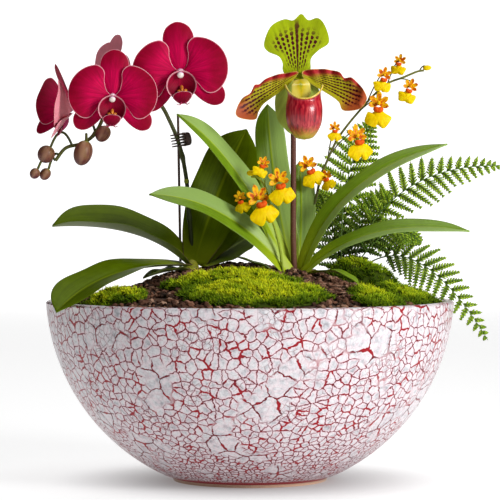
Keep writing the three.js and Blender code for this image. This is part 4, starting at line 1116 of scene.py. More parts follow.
sheath_paint = stem_material("spike_joint_sheath", (0.30, 0.36, 0.03), (0.34, 0.42, 0.03), (0.12, 0.10, 0.02))
add_piece("moth_orchid_spike_sheath", sheath, sheath_paint, "moth_orchid_spike")

# Stake and claw clip
# A stained split-cane stake holds the spike up. A moulded claw clip with sprung jaws grips both, and its
# two tabs are squeezed to open it.
def mottled_material(name, scale, dark, light, low=0.3, high=0.7, detail=2.0, **sockets):
    """A material whose tone wanders between two colours."""
    made = new_material(name, **sockets)
    feed(ramp(noise(scale, detail), [(low, dark), (high, light)]))
    return made


cane = new_material("stained_cane", Roughness=0.5)
stretch = put("ShaderNodeMapping", {"Vector": own_place(), "Scale": (900, 900, 40)}).outputs[0]
fibre = noise(1.0, place=stretch)
feed(ramp(fibre, [(0.3, (0.030, 0.014, 0.008)), (0.7, (0.12, 0.055, 0.03))]))
bumps(fibre, 0.4, 0.0002)
finish_node("stake", cane)
moulded = mottled_material(
    "moulded_clip_plastic", 260, (0.022, 0.012, 0.008), (0.075, 0.038, 0.022), Roughness=0.32)
spring_steel = mottled_material(
    "spring_wire", 1500, (0.35, 0.35, 0.36), (0.55, 0.55, 0.56), Roughness=0.3, Metallic=1.0)
finish_node("clip_pin", spring_steel)
finish_node("clip_spring", spring_steel)

# Moth orchid flowers
# Each flower has three narrower sepals behind two broad rounded petals, all crimson with darker veins
# and a thin pale edge. Its small three-lobed lip stands forward under a white and purple column.
def ruffle(seed, lift, count, cup=0.0):
    """A petal's edge: short waves that grow towards the rim, on a shallow cup."""
    def wave(t, u):
        rim = np.maximum(np.abs(u) ** 3, np.clip((t - 0.55) / 0.45, 0, 1) ** 2)
        around = np.arctan2(u, t - 0.45)
        rise = lift * rim * (np.sin(count * around + seed) + 0.5 * np.sin(1.7 * count * around + 2 * seed))
        return rise - cup * (1 - u**2) * np.sin(math.pi * t), 0.02 * np.sin(1.3 * count * t + seed)
    return wave


def petal_material(name, body, dark, pale, margin, back, vein_count=9, rough=0.55):
    """A petal's skin: body colour with darker veins that fan out, darker towards its outer end, a pale
    edge and a back of its own colour."""
    made = new_material(
        name, Roughness=rough, Specular_IOR_Level=0.08, **lit_through(0.1, (0.5, 0.15, 0.15), 0.0015))
    across, along, layer = blade_coordinates()
    line = veins(across, along, vein_count, 1.6)
    front = ramp(line, [
        (0.25, tuple(0.62 * c for c in body)),
        (0.52, body),
        (0.75, tuple(1.5 * c for c in body)),
    ])
    soft = noise(90)
    outer = fade(plus(along, times(soft, 0.35)), 0.55, 1.1)
    front = blend(times(outer, 0.8), front, dark)
    rim = fade(maths("ABSOLUTE", layer), 1 - margin, 1 - 0.25 * margin)
    front = blend(times(rim, 0.85), front, pale)
    reverse = blend(times(line, 0.25), back, dark)
    feed(blend(fade(layer, -0.1, 0.1), reverse, front))
    bumps(line, 0.35, 0.0005)
    return made


def egg(start, end, thick, rows=16, columns=18, origin=(0, 0, 0), blunt=0.9):
    """An egg from start to end: its radius is that of a ball at a power blunt of its share of the
    length, so that it is fuller towards the start where blunt is under 1."""
    t = (1 - np.cos(np.linspace(0, math.pi, rows))) / 2
    start, end = np.array(start, float), np.array(end, float)
    radius = thick * np.sqrt(np.maximum(1 - (2 * t**blunt - 1) ** 2, 0.0004))
    return tube(start + (end - start) * t[:, None], radius, columns, origin)


def closed_route(points, steps):
    """An evenly stepped smooth curve through the points and back to the first."""
    p = np.array(points, float)
    return spline(*(np.roll(p, shift, 0) for shift in (1, 0, -1, -2)), p[:1], steps, open_ended=False)


def plate(outline, middle, foot, depth, thickness=1.1, size=(16, 72), hand=1, origin=(0, 0, 0)):
    """A petal with this outline, in places across and up. Its points lie on rings that grow from its
    middle to the outline. depth gives how far back each lies, from its place and its ring's share. A
    front and a back face meet in a thin edge. The attribute holds the angle about the petal's foot,
    the distance from it, and the ring's share, negative on the back."""
    rows, columns = size
    edge = closed_route(outline, columns)
    middle, foot = np.array(middle, float), np.array(foot, float)
    share = np.sin(np.linspace(0, math.pi / 2, rows))
    flat = middle + (edge[None] - middle) * share[:, None, None]
    x, z = flat[..., 0], flat[..., 1]
    ring = share[:, None] + 0 * x
    y = depth(x, z, ring)
    half = thickness / 2 * np.sqrt(np.maximum(1 - ring**2, 0.01))
    points = np.concatenate([np.stack([x, y - half, z], -1), np.stack([x, y + half, z], -1)[::-1]])
    heading = math.atan2(middle[1] - foot[1], middle[0] - foot[0])
    angle = np.arctan2(z - foot[1], x - foot[0]) - heading
    angle = hand * (np.mod(angle + math.pi, 2 * math.pi) - math.pi)
    reach = np.hypot(x - foot[0], z - foot[1])
    span = np.stack([angle, reach / reach.max(), np.maximum(ring, 0.12)], -1)
    back = span * [1, 1, -1]
    span = np.concatenate([span, back[::-1]]).reshape(-1, 3)
    return points.reshape(-1, 3) + np.array(origin, float), grid_faces(2 * rows, columns), {"blade": span}


petal_crimson = petal_material(
    "crimson_petal", (0.52, 0.0, 0.060), (0.22, 0.0, 0.010), (0.82, 0.38, 0.44), 0.040, (0.84, 0.30, 0.36))
lip_crimson = petal_material(
    "moth_orchid_lip", (0.26, 0.0, 0.022), (0.12, 0.0, 0.01), (0.80, 0.36, 0.42), 0.11, (0.45, 0.03, 0.12))
callus_paint = mottled_material(
    "moth_orchid_callus", 500, (0.75, 0.30, 0.02), (0.45, 0.06, 0.02), 0.4, 0.65, 3.0, Roughness=0.4)
column_paint = new_material("moth_orchid_column", Roughness=0.35)
column_tone = plus(times(noise(260), 0.3), times(blade_coordinates()[1], 0.7))
feed(ramp(column_tone, [
    (0.36, (0.86, 0.76, 0.70)), (0.50, (0.70, 0.34, 0.58)), (0.66, (0.38, 0.02, 0.20)),
]))


petal_outline = [
    (2.5, 2.5), (5.5, 6.5), (7.4, 14), (7.2, 20.5), (9.5, 25), (15, 27.6), (25, 24.6), (33.5, 17),
    (37.6, 7), (37, -4), (32.5, -12.5), (25.5, -17.6), (18.5, -16.6), (12, -8), (6, -1),
]
dorsal_outline = [
    (-3, 1), (-9, 13), (-11, 22), (-11.5, 30), (-8, 37.5), (0.5, 41.5), (9, 38), (13, 30),
    (12, 22), (9.5, 13), (3, 1),
]
lateral_outline = [
    (2, -2), (12, -5), (24, -8.5), (31.5, -13), (33.5, -20), (30.5, -26.3), (23, -27.5),
    (14.5, -22.5), (7, -14), (1.5, -5),
]
cup_radius = 11.6
cup_middle = -10.5
front_lobe_outline = [
    (-3, -15.5), (-7, -17.5), (-7.5, -20.5), (-3.5, -24.6), (0, -25.4), (3.5, -24.4), (7.5, -20),
    (7, -17), (3, -15.5),
]


def mirrored(outline, side):
    """An outline as it is, or turned to the other side in the same sense of rotation."""
    return outline if side > 0 else [(-x, z) for x, z in reversed(outline)]


def petal_depth(seed, base, cup, lean, ripple_lift):
    """How far back a petal lies: base, plus cup times the square of its ring's share, plus lean
    times its distance out, plus short waves that grow to ripple_lift at its edge."""
    def depth(x, z, ring):
        around = np.arctan2(z, x)
        waves = np.sin(5 * around + seed) + 0.5 * np.sin(9 * around + 2 * seed)
        return base - cup * ring**2 + lean * np.hypot(x, z) + ripple_lift * ring**4 * waves
    return depth


def moth_flower(seed, sweep):
    """The petals, lip, callus and column of one flower that faces -Y, about its own centre. sweep
    is how far its petals come forward, as a share of their reach."""
    petals = [plate(dorsal_outline, (1, 27), (0, 0), petal_depth(seed, 2.5, -1.5, 0.1 - sweep, 0.5))]
    lip = []
    for side in (-1, 1):
        petals.append(plate(mirrored(lateral_outline, side), (side * 20, -17), (0, -1),
                            petal_depth(seed + side, 1.8, -1.0, 0.09 - sweep, 0.5), hand=side))
        petals.append(plate(mirrored(petal_outline, side), (side * 21, 5), (side * 2, 1),
                            petal_depth(seed + 2 * side, 0.3, -2.2, -sweep, 0.7), hand=side, size=(20, 96)))
    round_outline = [(cup_radius * math.sin(a) * 1.02, cup_middle + cup_radius * math.cos(a))
                     for a in np.linspace(0, 2 * math.pi, 12, endpoint=False)]
    lip.append(plate(round_outline, (0, cup_middle), (0, 0), petal_depth(seed, -1.8, 6.5, 0, 0.4), 0.8))
    lobe_depth = petal_depth(seed, -8.5, -1.0, -0.06, 0.3)
    lip.append(plate(front_lobe_outline, (0, -20), (0, -12), lobe_depth, 1.2, (10, 40)))
    for side in (-1, 1):
        tendril = smooth_route([
            (side * 1.2, -9.8, -24), (side * 3, -10.5, -26), (side * 5.5, -11.5, -25)], 10)
        lip.append(tube(tendril, np.linspace(0.6, 0.2, 10), 8))
    callus = [
        egg((-3.4, -4.5, -14), (-1.2, -7.5, -16), 1.4),
        egg((3.4, -4.5, -14), (1.2, -7.5, -16), 1.4),
        egg((0, -3.5, -10), (0, -7.5, -15), 1.3),
    ]
    column = [egg((0, -7.5, -1.8), (0, 1.5, 2.5), 3.0), egg((0, -9.2, -3.6), (0, -5.6, -0.6), 2.7)]
    return joined(*petals), joined(*lip), joined(*callus), joined(*column)


for number, flower in enumerate(moth_flowers, 1):
    turn = turn_matrix(flower["yaw"], flower["roll"], flower["nod"])
    node = f"moth_orchid_flower_{number}"
    labels = ("petals", "lip", "callus", "column")
    paints = (petal_crimson, lip_crimson, callus_paint, column_paint)
    for label, shape, paint in zip(labels, moth_flower(number, flower["sweep"]), paints):
        points, faces, spans = shape
        points = flower["size"] * points @ turn.T + flower["place"] + np.array(moth_place)
        add_piece(f"{node}_{label}", (points, faces, spans), paint, node)

# Claw clip jaws
# Two moulded jaws turn on the pin. Each has claws that pass between the other's and close round spike
# and stake, a barrel on the pin, and a rounded tab with ribs for the fingers.
clip_middle = np.array(moth_place) + (-4.6, 0.6, 120.5)
clip_lean = math.radians(9)
clip_length = 11.6
claw_count = 5
claw_pitch = 2.42
claw_width = 1.92
claw_ring = 5.2
claw_reach = 6
barrel = 1.9
tab_slope = math.tan(math.radians(27))
tab_lift = 0.9
tab_outline = [(0.8, -4.6), (3, -5.7), (5, -5), (6, -2.8), (6.2, 0), (6, 2.8), (5, 5), (3, 5.7), (0.8, 4.6)]


def clip_jaw(hand):
    """One jaw about the pin, its claws towards -X: hand is 1 for the front jaw, -1 for the back."""
    def tab_depth(x, z, ring):
        """The tab slopes away from the other jaw's."""
        return -hand * (x * tab_slope + tab_lift)

    shapes = [plate(tab_outline, (3.4, 0), (0, 0), tab_depth, 1.7, (8, 40))]
    for rib, half in ((2.2, 4.9), (3.4, 5.0), (4.6, 4.5), (5.5, 3.4)):
        z = np.linspace(-half, half, 8)
        route = np.stack([rib + 0 * z, tab_depth(rib, z, 0) - hand * 0.7 + 0 * z, z], -1)
        shapes.append(tube(route, 0.45, 8))
    for i in range(claw_count):
        low = -clip_length / 2 + i * claw_pitch
        if (i % 2 == 0) == (hand > 0):
            a = np.radians(np.linspace(55, 205, 16))
            z = low + claw_width / 2 + 0 * a
            claw = np.stack([claw_ring * np.cos(a) - claw_reach, -hand * claw_ring * np.sin(a), z], -1)
            claw = smooth_route([(1.4, -hand * 1.2, z[0]), *claw], 30)
            shapes.append(tube(claw, np.linspace(1.0, 0.45, 30), 10))
            z = np.linspace(low, low + claw_width, 4)
            shapes.append(tube(np.stack([0 * z, 0 * z, z], -1), barrel, 20))
    points, faces, spans = joined(*shapes)
    x, y, z = points.T
    upright, aslant = math.cos(clip_lean), math.sin(clip_lean)
    leant = [x * upright - z * aslant, y, x * aslant + z * upright]
    return np.stack(leant, -1) + clip_middle, faces, spans


for hand, side in ((1, "front"), (-1, "back")):
    add_piece(f"clip_{side}_jaw", clip_jaw(hand), moulded, f"clip_jaw_{side}", f"clip_{side}")

# Moth orchid crown
# The leaves grow from a short thick stem that stands on the root ball, yellow-green, paler higher up
# and finely speckled.
crown_paint = stem_material("crown_skin", (0.24, 0.26, 0.02), (0.50, 0.50, 0.04), (0.12, 0.08, 0.02))
crown_shape = egg((2, 0, 0), (2, 0, 17), 6.5, 16, 20, moth_place)
add_piece("moth_orchid_crown", crown_shape, crown_paint, "moth_orchid_leaf_4")

# Moth orchid buds
# Five unopened buds hang at the spike's end, the smallest last: olive-brown, flushed with purple, with
# the seams of three closed sepals. The seams are darkened, partly as painted shade in their creases,
# and the rounded middle of each sepal is lightened as a painted highlight.
bud_paint = new_material("unopened_bud", Roughness=0.45, Specular_IOR_Level=0.25)
across, along, beside = blade_coordinates()
flush = plus(times(noise(160), 0.6), times(along, 0.4))
flush = plus(times(flush, 0.6), times(veins(across, along, 3, 0.5), 0.4))
bud_skin = ramp(flush, [
    (0.32, (0.23, 0.14, 0.04)), (0.48, (0.20, 0.080, 0.045)), (0.60, (0.11, 0.028, 0.035)),
])
around_bud = maths("ARCTAN2", beside, across)
turned_by = plus(times(around_bud, 1.5), times(along, 0.9))
seam = maths("ABSOLUTE", maths("SINE", plus(turned_by, 0.7)))
# Dark along the seams, partly as painted shade in the creases, and a painted highlight along each sepal's
# rounded middle.
seam_and_crease_shade = fade(seam, 0.16, 0.03)
ridge_highlight = times(fade(seam, 0.8, 1.0), 0.45)
bud_skin = blend(ridge_highlight, bud_skin, (0.36, 0.20, 0.12))
bud_skin = blend(times(seam_and_crease_shade, 0.85), bud_skin, (0.06, 0.015, 0.015))
bud_skin = blend(fade(along, 0.2, 0.02), bud_skin, (0.24, 0.30, 0.04))
feed(bud_skin)
bumps(seam, 0.6, 0.0008)
for number, bud in enumerate(moth_buds, 1):
    node = f"moth_orchid_bud_{number}"
    shape = egg(bud["neck"], bud["nose"], bud["thick"], 26, 30, moth_place, 0.95)
    add_piece(node + "_skin", shape, bud_paint, node)

# Slipper orchid leaves
# A fan of narrow, arching strap leaves, folded along the middle, mid-green and bright yellow-green
# where they come out of each other at the base. Two of them are short young ones.
slipper_place = (*plants["slipper_orchid"]["place"], plants["slipper_orchid"]["top"])
# The pale colour lightens one half of each strap leaf's upper face as a painted sheen.
strap_leaf = leaf_material(
    "slipper_orchid_leaf", (0.135, 0.235, 0.006), (0.24, 0.38, 0.04), (0.42, 0.52, 0.01), 10, 0.30, 0.22,
    pale=(0.30, 0.44, 0.12))
young_leaf = leaf_material(
    "slipper_orchid_young_leaf", (0.17, 0.28, 0.008), (0.26, 0.40, 0.03), (0.40, 0.50, 0.01), 10, 0.4, 0.22)
slipper_leaves = [
    dict(base=(-1, 7, 2), bend=(-20, 18, 74), tip=(-24, 25, 150), width=27, face=(0.1, -1, 0.1), tip_power=4),
    dict(base=(2, 10, 2), bend=(8, 24, 52), tip=(4, 37, 101), width=24, face=(0, -1, 0.2)),
    dict(base=(-5, 3, 2), bend=(-45, -7, 105), tip=(-101, -17, 140), width=27, face=(0.4, -0.7, 1)),
    dict(base=(4, -1, 2), bend=(26, -9, 89), tip=(130, 7, 115), width=22, face=(-0.4, -0.8, 1)),
    dict(base=(-4, -5, 2), bend=(-56, -24, 71), tip=(-124, -30, 72), width=26, face=(0, -0.9, 1)),
    dict(base=(4, -7, 2), bend=(53, -24, 56), tip=(146, -30, 41), width=22, face=(0, -0.6, 1)),
    dict(base=(4, -11, 2), bend=(34, -32, 15), tip=(52, -47, -3), width=12, face=(0, 0, 1), thickness=1.4),
    dict(base=(-7, -2, 1), bend=(-29, 3, 12), tip=(-51, 7, 19), width=11, face=(0, 0, 1), thickness=1.4),
]
for number, leaf in enumerate(slipper_leaves, 1):
    shape = blade(**{
        **dict(widest=0.5, tip_power=2.6, thickness=1.8, groove=0.6, base_share=0.5, size=(56, 32)), **leaf,
    }, wave=leaf_wave(number + 10, 0.6), origin=slipper_place)
    node = f"slipper_orchid_leaf_{number}"
    add_piece(node + "_blade", shape, young_leaf if number > 6 else strap_leaf, node)

# Slipper orchid scape
# One tall, dark red-brown stalk carries the flower. An egg-shaped ovary of the same colour joins the
# two, with a small sheath under it.
hub = (2, -9, 170)
scape_steps = 60
scape_route = smooth_route([
    (-1, 0, 2), (-2, 0, 35), (-2, 0, 86), (-2, 0, 116), (-2, 0, 138), (0, -2, 159), hub,
], scape_steps)
scape_paint = stem_material(
    "slipper_orchid_scape", (0.13, 0.05, 0.03), (0.10, 0.03, 0.025), (0.22, 0.14, 0.06), 0.55)
scape = joined(
    tube(scape_route, 2.6 * (1 - 0.15 * np.linspace(0, 1, scape_steps)), 16, slipper_place),
    egg((-2, 0, 128), (3, -8, 172), 4.2, 20, 24, slipper_place),
    blade((-2, 2.4, 126), (-3, 5, 136), (-3, 7, 146), 9, (0, -1, 0), 0.5, 0.4, 1.8, 0.3, 0.8,
          origin=slipper_place),
)
add_piece("slipper_orchid_scape_stem", scape, scape_paint, "slipper_orchid_scape")

# Slipper orchid flower
# The broad dorsal sepal stands up and leans forward, lime green with rows of maroon spots along its
# veins. Two long petals sweep down at the sides, and a smaller sepal hangs behind the pouch.
def spotted_material(name, ground, spot, rows, spacing, size, long=1.0, stripe=0.0, reach=(0.15, 0.8),
                     edge=(0.55, 0.7), red_side=None):
    """A lime petal with rows of dark spots along its veins. The veins fan out from its foot, each is
    split into cells, and each cell holds one spot, long times as long as it is wide, moved a little
    by noise. stripe darkens the middle vein, and red_side reddens one margin and the tip."""
    made = new_material(
        name, Roughness=0.45, Specular_IOR_Level=0.1, **lit_through(0.1, (0.4, 0.5, 0.1), 0.0015))
    across, along, layer = blade_coordinates()
    line = veins(across, along, 12)
    body = ramp(line, [(0.35, tuple(0.75 * c for c in ground)), (0.65, ground)])
    ring = maths("ABSOLUTE", layer)
    column = plus(times(across, rows), 0.5)
    in_column = minus(maths("FRACT", column), 0.5)
    shift = times(maths("FLOOR", column), 0.37)
    row = plus(times(along, spacing), shift)
    in_row = minus(maths("FRACT", row), 0.5)
    wander = times(minus(noise(260, 2.0), 0.5), 0.5)
    near = put("ShaderNodeCombineXYZ", {
        0: plus(in_column, wander),
        1: maths("DIVIDE", in_row, long),
    })
    distance = put("ShaderNodeVectorMath", {0: near.outputs[0]}, operation="LENGTH").outputs["Value"]
    grown = plus(distance, times(noise(420, 2.0), 0.3))
    dot = fade(grown, size + 0.20, size + 0.12)
    inside = fade(ring, edge[1], edge[0])
    within = times(fade(along, reach[1] + 0.1, reach[1] - 0.1),
                   fade(along, reach[0] - 0.1, reach[0] + 0.1))
    dot = times(dot, times(inside, within))
    if red_side:
        tip = fade(plus(along, times(line, 0.2)), 0.72, 1.0)
        upper = fade(across, 0.02, 0.14)
        margin = times(fade(ring, 0.62, 0.86), upper)
        reddened = maths("MAXIMUM", times(tip, 0.85), margin)
        body = blend(reddened, body, red_side)
        border = fade(ring, 0.96, 0.995)
        body = blend(times(border, 0.7), body, (0.70, 0.46, 0.12))
    body = blend(dot, body, spot)
    if stripe:
        middle = fade(maths("ABSOLUTE", plus(across, times(wander, 0.1))),
                      stripe, 0.4 * stripe)
        middle = times(middle, fade(along, 0.97, 0.85))
        body = blend(times(middle, 0.9), body, spot)
    feed(body)
    bumps(line, 0.5, 0.0007)
    return made


hub_place = np.array(slipper_place) + hub
dorsal_paint = spotted_material(
    "lime_dorsal_sepal", (0.40, 0.50, 0.004), (0.07, 0.003, 0.006), 10, 15, 0.30, 1.4, 0.045,
    (0.14, 0.80), (0.62, 0.82))
side_petal_paint = spotted_material(
    "lime_side_petal", (0.50, 0.46, 0.012), (0.07, 0.003, 0.008), 16, 24, 0.26, 1.8, 0.02,
    (0.12, 0.95), (0.62, 0.85), (0.38, 0.016, 0.020))
lower_paint = spotted_material("lime_lower_sepal", (0.46, 0.58, 0.09), (0.30, 0.34, 0.03), 6, 9, 0.02)
dorsal_sepal_outline = [
    (0, 0), (-10, 3), (-13.3, 8), (-13.3, 13.5), (-16.7, 19.3), (-26, 23.5), (-29.2, 30.2), (-23.5, 44),
    (-12.5, 50), (-4.5, 49.2), (2.2, 54.4), (8.3, 49.4), (16.3, 51), (22.5, 44.5), (26, 31.3),
    (17.4, 24.5), (10.9, 17.6), (10.6, 8.5), (8, 3),
]
left_petal_outline = [
    (0, 6), (-11, 5.1), (-20, 3.2), (-28, -0.2), (-33.2, -4.4), (-37.2, -5.4), (-40.8, -12), (-47.4, -16.5),
    (-51.6, -23.4), (-53.1, -30.2), (-48.5, -33.8), (-36.6, -34.6), (-33.7, -27.9), (-29.2, -21.1),
    (-20, -14.3), (-11, -7.4), (-4, -0.6),
]
right_petal_outline = [
    (3.8, 6.8), (15.2, 8.5), (24.3, 8.1), (34.5, 5.7), (38.8, 0.9), (44.8, 0.9), (51.6, -5.2), (57.3, -14.3),
    (56.8, -20), (51.6, -25.7), (42.5, -27.4), (36.8, -26.2), (34.2, -20), (28.8, -15.4), (19.7, -9.7),
    (10.6, -4), (4.5, 0.5),
]
lower_sepal_outline = [
    (0, 2), (-10, 1), (-19.3, -14), (-18.5, -32), (-11.6, -42), (-4.8, -46.5), (4, -42), (12, -32),
    (18, -16), (15, -2), (8, 2),
]


def dorsal_depth(x, z, ring):
    """The sepal leans back, then its top nods forward; its sides come forward and its edge waves."""
    t = z / 54
    wave = 0.8 * ring**4 * np.sin(6 * np.arctan2(z - 30, x) + 1)
    return 13 * t * (1 - t) - 14 * t**2 - 0.12 * np.abs(x) * np.clip(t, 0, 1) + wave


def side_depth(seed):
    """A long petal sweeps forward by the square of its distance out, and its upper margin frills."""
    def depth(x, z, ring):
        reach = np.hypot(x, z)
        frill = 2.2 * ring**3 * np.sin(0.62 * reach + seed) * (z > -0.55 * np.abs(x) + 6)
        return -2 - 12 * (reach / 62) ** 2 + frill - 2.0 * ring**2
    return depth


def lower_depth(x, z, ring):
    """The lower sepal hangs behind the pouch, curved round it."""
    return 1 - 0.02 * z - 0.012 * x**2 + 0.4 * ring**4 * np.sin(5 * np.arctan2(z + 20, x))


for name, outline, middle, foot, depth, paint, hand in (
    ("dorsal_sepal", dorsal_sepal_outline, (-1, 30), (0, -6), dorsal_depth, dorsal_paint, 1),
    ("left_petal", left_petal_outline, (-36, -17), (4, 7), side_depth(0.4), side_petal_paint, -1),
    ("right_petal", right_petal_outline, (41, -11), (-3, 6), side_depth(2.2), side_petal_paint, 1),
    ("lower_sepal", lower_sepal_outline, (-1, -20), (0, 8), lower_depth, lower_paint, 1),
):
    shape = plate(outline, middle, foot, depth, 1.1, (28, 120), hand, hub_place)
    node = "slipper_orchid_" + name
    add_piece(node + "_blade", shape, paint, node)

# Slipper orchid pouch
# The lip is a hollow slipper with a deep opening: glossy red with darker veins, a yellow-green toe, a
# yellow rolled rim that rises in a horn at each side, and speckles inside.
pouch_axis = (6.5, -33)
pouch_wall = 1.4
pouch_outline = [(0, 118), (8, 120.5), (14.2, 131), (15.4, 144), (13.6, 157), (15.8, 164)]
pouch_rows = 40
pouch_columns = 96
outline = smooth_route([(r, 0, z) for r, z in pouch_outline], pouch_rows)[:, [0, 2]]
outline[:, 0] = np.maximum(outline[:, 0], 0)
outline[0] = pouch_outline[0]
pouch_angle = np.linspace(0, 2 * math.pi, pouch_columns, endpoint=False)


def pouch_surface(inset):
    """The pouch's outline turned round its axis and set in by inset. Near the rim it dips in front
    and behind, by the square of the cosine, and spreads into a horn at each side."""
    slope = np.gradient(outline, axis=0)
    normal = unit(np.stack([slope[:, 1], -slope[:, 0]], -1))
    shape = outline - inset * normal
    radius = np.maximum(shape[:, 0], 0)[:, None]
    height = shape[:, 1][:, None]
    near_rim = np.clip((height - 136) / 28, 0, 1) ** 2
    front = np.abs(np.sin(pouch_angle))[None]
    horn = np.cos(pouch_angle)[None] ** 8
    drop = near_rim * 12.0 * front
    spread = 1 + near_rim * (0.04 * horn - 0.10 * front)
    x = pouch_axis[0] + radius * spread * np.cos(pouch_angle)
    y = pouch_axis[1] + radius * spread * np.sin(pouch_angle)
    return np.stack([x, y, height - drop], -1)


outside, inside = pouch_surface(0), pouch_surface(pouch_wall)
bead = (outside[-1] + inside[-1]) / 2 + [0, 0, 0.7]
pouch_points = np.concatenate([outside, bead[None], inside[::-1]])
layer = np.concatenate([np.ones(pouch_rows), [0.5], np.zeros(pouch_rows)])
run = np.concatenate([np.linspace(0, 1, pouch_rows), [1], np.linspace(1, 0, pouch_rows)])
pouch_span = np.stack([
    np.cos(pouch_angle)[None] + 0 * run[:, None],
    run[:, None] + 0 * pouch_angle,
    layer[:, None] + 0 * pouch_angle,
], -1)
pouch_points = pouch_points.reshape(-1, 3) + np.array(slipper_place)
pouch_faces = grid_faces(2 * pouch_rows + 1, pouch_columns)
pouch_shape = (pouch_points, pouch_faces, {"blade": pouch_span.reshape(-1, 3)})
pouch_paint = new_material(
    "slipper_orchid_pouch", Roughness=0.3, Coat_Weight=0.25, Coat_Roughness=0.12)
across, along, layer = blade_coordinates()
drawn_out = put("ShaderNodeMapping", {"Vector": own_place(), "Scale": (1, 1, 0.16)}).outputs[0]
vein_net = noise(520, 2.0, place=drawn_out)
red_skin = ramp(vein_net, [
    (0.32, (0.17, 0.002, 0.010)), (0.5, (0.42, 0.005, 0.020)), (0.68, (0.56, 0.06, 0.06)),
])
toe = fade(plus(along, times(noise(170), 0.16)), 0.44, 0.14)
red_skin = blend(toe, red_skin, (0.62, 0.52, 0.07))
lip_rim = fade(along, 0.93, 0.985)
red_skin = blend(lip_rim, red_skin, (0.72, 0.52, 0.06))
within = blend(fade(noise(600, 2.0), 0.55, 0.65), (0.62, 0.55, 0.16), (0.35, 0.02, 0.02))
red_skin = blend(fade(layer, 0.45, 0.2), red_skin, within)
feed(red_skin)
bumps(vein_net, 0.25, 0.0004)
add_piece("slipper_orchid_pouch_shell", pouch_shape, pouch_paint, "slipper_orchid_pouch")

# Slipper orchid staminode
# A small glossy yellow shield stands over the pouch's opening, with a green boss.
shield_paint = new_material("staminode_shield", Roughness=0.22, Coat_Weight=0.6)
across, along, layer = blade_coordinates()
boss = plus(maths("ABSOLUTE", across), maths("ABSOLUTE", minus(along, 0.45)))
boss = plus(boss, times(noise(500), 0.2))
feed(ramp(boss, [
    (0.15, (0.40, 0.42, 0.02)), (0.45, (0.78, 0.58, 0.02)), (0.9, (0.84, 0.70, 0.12)),
]))


def notched(t, u):
    """A shield's lower part a little wider, and a raised boss."""
    boss_height = 1.2 * np.exp(-((u / 0.4) ** 2) - ((t - 0.45) / 0.22) ** 2)
    return boss_height, 0.10 * np.clip(t - 0.6, 0, 1)


shield = blade((3.5, -16, 169), (4, -25, 165), (4.5, -28, 151), 16, (0, -1, 0), 0.6, 0.5, 3.0, 0.1, 1.8,
               wave=notched, size=(28, 28), origin=slipper_place)
add_piece("slipper_orchid_staminode_shield", shield, shield_paint, "slipper_orchid_staminode")

# Dancing orchid sprays
# Two wiry stems carry small flowers, each with a broad bright yellow lip split into two lobes, five
# narrow brown-barred tepals and a red-brown crest. The youngest at the ends are still buds.
spray_radius = 1.1
sprays = {
    "right": dict(
        route=[(10, 21, -12), (12, 23, 35), (14, 24, 54), (18, 25, 69), (22, 25, 87), (28, 25, 102),
               (36, 25, 119), (46, 25, 133), (57, 25, 146), (68, 25, 158), (80, 25, 168),
               (93, 25, 173), (105, 25, 178), (111, 25, 179)],
        flowers=[((52, 20, 127), 1.0, 0.52), ((34, 24, 132), 0.55, 0.5), ((72, 20, 155), 1.0, 0.66),
                 ((77, 20, 178), 0.7, 0.76), ((91, 27, 190), 0.6, 0.86), ((100, 18, 168), 0.7, 0.88),
                 ((9, 20, 101), 0.9, 0.42), ((26, 22, 90), 0.6, 0.36), ((113.5, 24, 181), 0.44, 0.99)],
        low=(0.07, 0.08, 0.02), high=(0.16, 0.17, 0.03)),
    "left": dict(
        route=[(-9, -11, -12), (-13, -13, 22), (-17, -15, 40), (-21, -17, 54), (-23, -18, 67),
               (-26, -19, 78), (-32, -19, 86), (-38, -19, 87)],
        flowers=[((-34, -24, 74), 1.1, 0.7), ((-48, -22, 72), 0.6, 0.74), ((-16, -24, 89), 1.0, 0.72),
                 ((-27, -22, 101), 0.6, 0.86), ((-38, -20, 90), 0.48, 0.97)],
        low=(0.28, 0.38, 0.03), high=(0.36, 0.42, 0.03)),
}
lip_yellow = new_material(
    "yellow_lip", Roughness=0.45, Specular_IOR_Level=0.08, **lit_through(0.15, (0.6, 0.4, 0.05), 0.001))
across, along, layer = blade_coordinates()
line = veins(across, along, 7)
yellow = ramp(line, [(0.35, (0.80, 0.52, 0.0)), (0.65, (0.90, 0.68, 0.002))])
freckled = times(fade(noise(800, 1.0), 0.56, 0.62), fade(along, 0.35, 0.1))
yellow = blend(freckled, yellow, (0.42, 0.09, 0.01))
feed(yellow)
bumps(line, 0.4, 0.0004)
tepal_paint = new_material("barred_tepal", Roughness=0.45, Specular_IOR_Level=0.1)
across, along, layer = blade_coordinates()
bars = plus(noise(330, 2.0), times(maths("ABSOLUTE", across), -0.16))
barred = ramp(bars, [
    (0.34, (0.85, 0.50, 0.003)), (0.46, (0.76, 0.27, 0.003)), (0.58, (0.50, 0.07, 0.003)),
])
barred = blend(fade(across, 1.2, 1.8), barred, (0.72, 0.09, 0.004))
feed(barred)


lip_outline = [
    (2.6, -10.5), (5, -13), (8, -13.2), (11, -16), (11, -20.5), (8, -24.6), (4.4, -26), (1.6, -25.2),
    (0, -23.6), (-1.6, -25.2), (-4.4, -26), (-8, -24.6), (-11, -20.5), (-11, -16), (-8, -13.2),
    (-5, -13), (-2.6, -10.5),
]
tepal_lengths = ((90, 11), (38, 10), (142, 10), (-12, 9), (192, 9))
crest_mark = (2, 0, 1)


def wavy(outline, seed):
    """An outline whose corners move in and out by up to a twelfth, as a sine of their number."""
    return [(x * (1 + 0.08 * math.sin(2.3 * i + seed)), z + 0.7 * math.sin(1.9 * i + seed))
            for i, (x, z) in enumerate(outline)]


